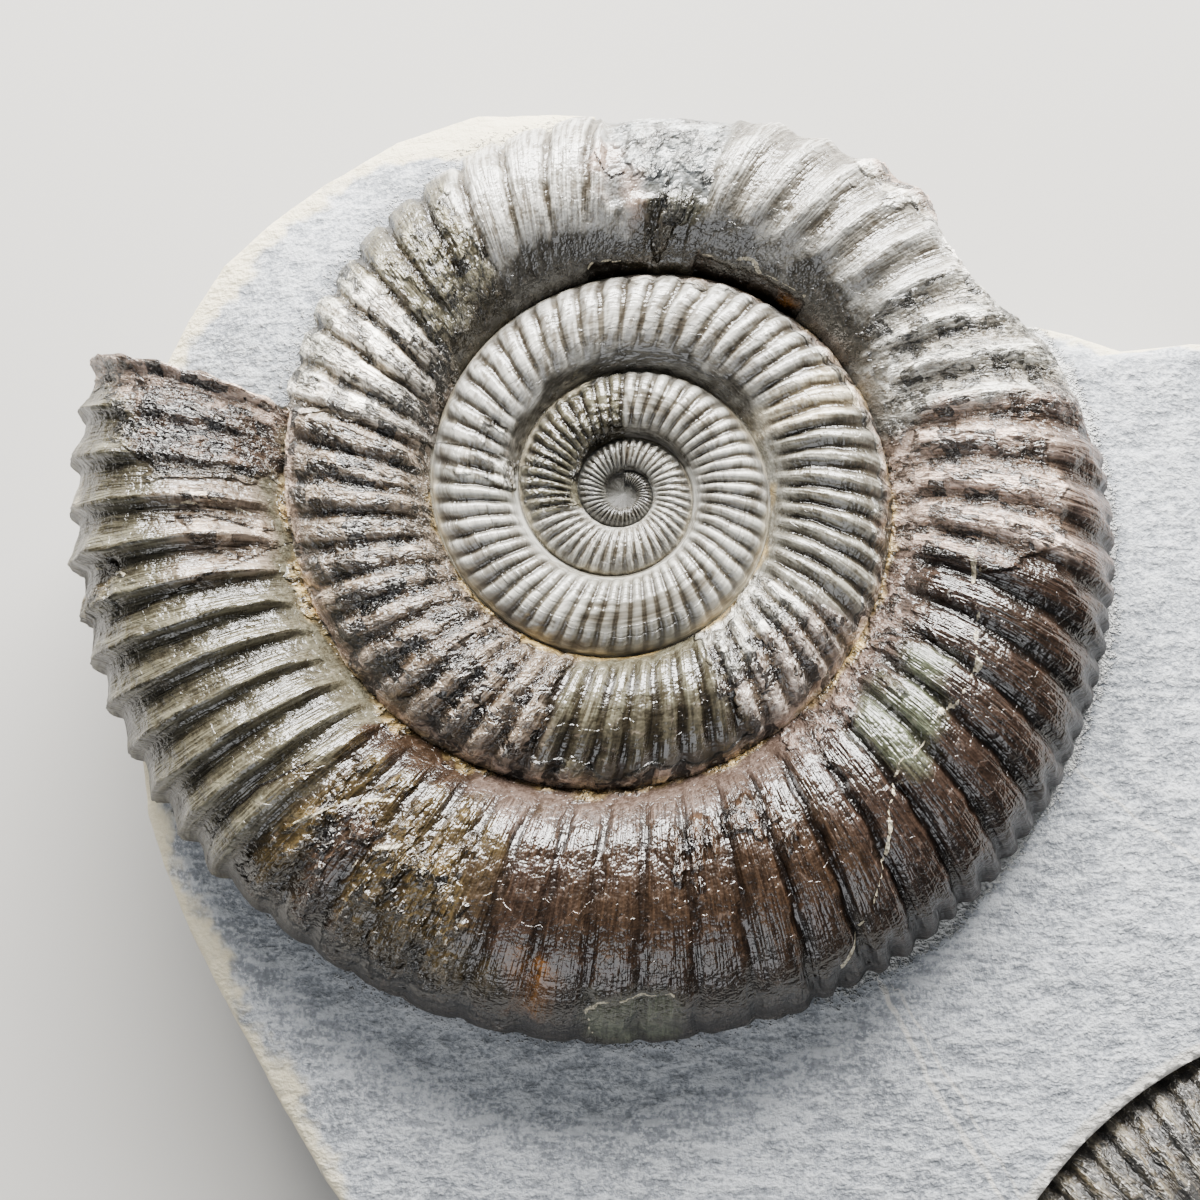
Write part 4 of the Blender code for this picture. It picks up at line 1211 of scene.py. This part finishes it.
class AmmoniteShell(bpy.types.PropertyGroup):
    rib_height: bpy.props.FloatProperty(
        name="Rib height", description="Crest over furrow, as a share of the whorl's half height",
        default=0.1, min=0.0, max=0.3, subtype="FACTOR",
    )
    leaf_step: bpy.props.FloatProperty(
        name="Leaf relief", description="Height of the flaked shell from its lowest leaf to its highest",
        default=0.0012, min=0.0, max=0.003, unit="LENGTH",
    )
    gloss: bpy.props.FloatProperty(
        name="Roughness", description="Roughness of the polished shell", default=0.15, min=0.0, max=1.0,
        subtype="FACTOR",
    )


class AmmoniteRock(bpy.types.PropertyGroup):
    lump_height: bpy.props.FloatProperty(
        name="Lump height", description="Height of the gentle lumps on the slab", default=0.0008, min=0.0,
        max=0.003, unit="LENGTH",
    )
    chip_depth: bpy.props.FloatProperty(
        name="Chip depth", description="Depth of the broken bedding on the slab's sides", default=0.0011,
        min=0.0, max=0.003, unit="LENGTH",
    )


class AmmoniteStage(bpy.types.PropertyGroup):
    key_power: bpy.props.FloatProperty(
        name="Key light", description="Power of the large soft light at the photograph's top", default=32.0,
        min=0.0, max=50.0, unit="POWER",
    )
    fill_power: bpy.props.FloatProperty(
        name="Fill light", description="Power of the weak soft light at the photograph's foot", default=2.2,
        min=0.0, max=50.0, unit="POWER",
    )
    floor_size: bpy.props.FloatProperty(
        name="Floor", description="Side of the square floor", default=4.0, min=0.5, max=20.0, unit="LENGTH",
    )


class AMMONITE_OT_shell(bpy.types.Operator):
    """Build the ribbed coil: its inner whorls and its last whorl"""

    bl_idname = "ammonite.shell"
    bl_label = "Ammonite"

    def execute(self, context):
        settings = context.scene.ammonite_shell
        finish = shell_material("polished_fossil_shell", settings.gloss, 1.0)
        tree = shell_tree()
        values = {
            "Rib Height": settings.rib_height, "Leaf Step": settings.leaf_step, "Grain": 0.00005,
            "Seed": 3.0, "Material": finish,
        }
        for name, make in (("inner_whorls", inner_whorls_mesh), ("last_whorl", last_whorl_mesh)):
            piece = make_object(name, make())
            run_tree(piece, tree, values)
            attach(piece, "root")
            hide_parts("ammonite")
        return {"FINISHED"}


class AMMONITE_OT_matrix(bpy.types.Operator):
    """Build the slab of mudstone that holds both ammonites"""

    bl_idname = "ammonite.matrix"
    bl_label = "Mudstone slab"

    def execute(self, context):
        settings = context.scene.ammonite_rock
        slab = make_object("mudstone_slab", matrix_mesh())
        values = {
            "Lump Height": settings.lump_height, "Chip Depth": settings.chip_depth, "Grain": 0.0002,
            "Seed": 5.0, "Material": mudstone_material(),
        }
        run_tree(slab, rock_tree(), values)
        cut(slab, second_pocket(), "DIFFERENCE")
        rock_attributes(slab.data)
        slab.data.shade_smooth()
        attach(slab, "root")
        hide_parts("matrix")
        return {"FINISHED"}


class AMMONITE_OT_second(bpy.types.Operator):
    """Build the piece of a second ammonite at the slab's corner"""

    bl_idname = "ammonite.second"
    bl_label = "Second ammonite"

    def execute(self, context):
        piece = make_object("second_whorl", second_mesh())
        finish = shell_material("dull_fossil_shell", 0.45, 0.6)
        run_tree(
            piece, shell_tree(),
            {"Rib Height": 0.085, "Leaf Step": 0.0007, "Grain": 0.0001, "Seed": 8.0, "Material": finish},
        )
        sides = block_sides()
        # the whorl is filled with the slab's mud, which its cut faces show
        for mesh in (piece.data, sides):
            mesh.materials.append(bpy.data.materials["scraped_mudstone"])
        cut(piece, sides, "INTERSECT")
        count = len(piece.data.vertices)
        store(piece.data, {key: np.full(count, value) for key, value in FILLING_MARKS.items()})
        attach(piece, "root")
        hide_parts("second_ammonite")
        return {"FINISHED"}


# The camera, from the coil's middle: where it stands, and its right, up and look directions.
CAMERA_AT = (3.836, -33.136, 136.293)
CAMERA_RIGHT = (0.99903, 0.0, -0.04396)
CAMERA_UP = (0.00756, 0.98509, 0.17186)
CAMERA_LOOK = (-0.04331, 0.17203, -0.98414)
CAMERA_LENS = 47.94
LIT_POINT = (0, 0, 0.02)  # what both lights face, in metres


class AMMONITE_OT_stage(bpy.types.Operator):
    """Build the pale floor, the soft lights and the camera"""

    bl_idname = "ammonite.stage"
    bl_label = "Stage"

    def execute(self, context):
        settings = context.scene.ammonite_stage
        scene = context.scene
        half = settings.floor_size / 2
        corners = [(x * half, y * half, 0) for x, y in ((-1, -1), (1, -1), (1, 1), (-1, 1))]
        mesh = bpy.data.meshes.new("floor")
        mesh.from_pydata(corners, [], [(0, 1, 2, 3)])
        mesh.materials.append(floor_material())
        make_object("floor", mesh)

        for name, place_at, size, power, colour, shine in (
            ("key", (0.03, 0.46, 0.26), (0.6, 0.26), settings.key_power, (1.0, 0.985, 0.96), 1.0),
            ("fill", (-0.1, -0.45, 0.4), (0.5, 0.4), settings.fill_power, (0.95, 0.97, 1.0), 0.1),
        ):
            lamp = bpy.data.lights.new(name, "AREA")
            lamp.shape, lamp.size, lamp.size_y = "RECTANGLE", size[0], size[1]
            lamp.energy, lamp.color = power, colour
            lamp.specular_factor = shine
            made = bpy.data.objects.new(name, lamp)
            toward = Vector(LIT_POINT) - Vector(place_at)
            made.rotation_euler = toward.to_track_quat("-Z", "Y").to_euler()
            made.location = place_at
            scene.collection.objects.link(made)

        world = bpy.data.worlds.new("studio")
        world.use_nodes = True
        sky = world.node_tree.nodes["Background"]
        sky.inputs["Color"].default_value = (0.96, 0.98, 1.0, 1.0)
        sky.inputs["Strength"].default_value = 0.1
        scene.world = world

        lens = bpy.data.cameras.new("camera")
        lens.lens, lens.sensor_width, lens.clip_start = CAMERA_LENS, 36.0, 0.005
        camera = bpy.data.objects.new("camera", lens)
        turn = Matrix((CAMERA_RIGHT, CAMERA_UP, [-x for x in CAMERA_LOOK])).transposed()
        camera.matrix_world = Matrix.Translation((np.array(CAMERA_AT) + PLACE) * MM) @ turn.to_4x4()
        scene.collection.objects.link(camera)
        scene.camera = camera
        return {"FINISHED"}


class AMMONITE_PT_panel(bpy.types.Panel):
    """Sizes and finishes of the ammonite"""

    bl_idname = "AMMONITE_PT_panel"
    bl_label = "Ammonite"
    bl_space_type = "VIEW_3D"
    bl_region_type = "UI"
    bl_category = "Ammonite"

    def draw(self, context):
        groups = (
            ("ammonite_shell", ("rib_height", "leaf_step", "gloss"), "ammonite.shell"),
            ("ammonite_rock", ("lump_height", "chip_depth"), "ammonite.matrix"),
            (None, (), "ammonite.second"),
            ("ammonite_stage", ("key_power", "fill_power", "floor_size"), "ammonite.stage"),
        )
        for group, names, operator in groups:
            box = self.layout.box()
            for name in names:
                box.prop(getattr(context.scene, group), name)
            box.operator(operator)


CLASSES = (
    AmmoniteShell, AmmoniteRock, AmmoniteStage, AMMONITE_OT_shell, AMMONITE_OT_matrix, AMMONITE_OT_second,
    AMMONITE_OT_stage, AMMONITE_PT_panel,
)


def register():
    for made in CLASSES:
        bpy.utils.register_class(made)
    bpy.types.Scene.ammonite_shell = bpy.props.PointerProperty(type=AmmoniteShell)
    bpy.types.Scene.ammonite_rock = bpy.props.PointerProperty(type=AmmoniteRock)
    bpy.types.Scene.ammonite_stage = bpy.props.PointerProperty(type=AmmoniteStage)


def unregister():
    for name in ("ammonite_shell", "ammonite_rock", "ammonite_stage"):
        delattr(bpy.types.Scene, name)
    for made in reversed(CLASSES):
        bpy.utils.unregister_class(made)


def main():
    register()
    bpy.ops.ammonite.stage()
    bpy.ops.ammonite.shell()
    bpy.ops.ammonite.matrix()
    bpy.ops.ammonite.second()


if __name__ == "__main__":
    main()
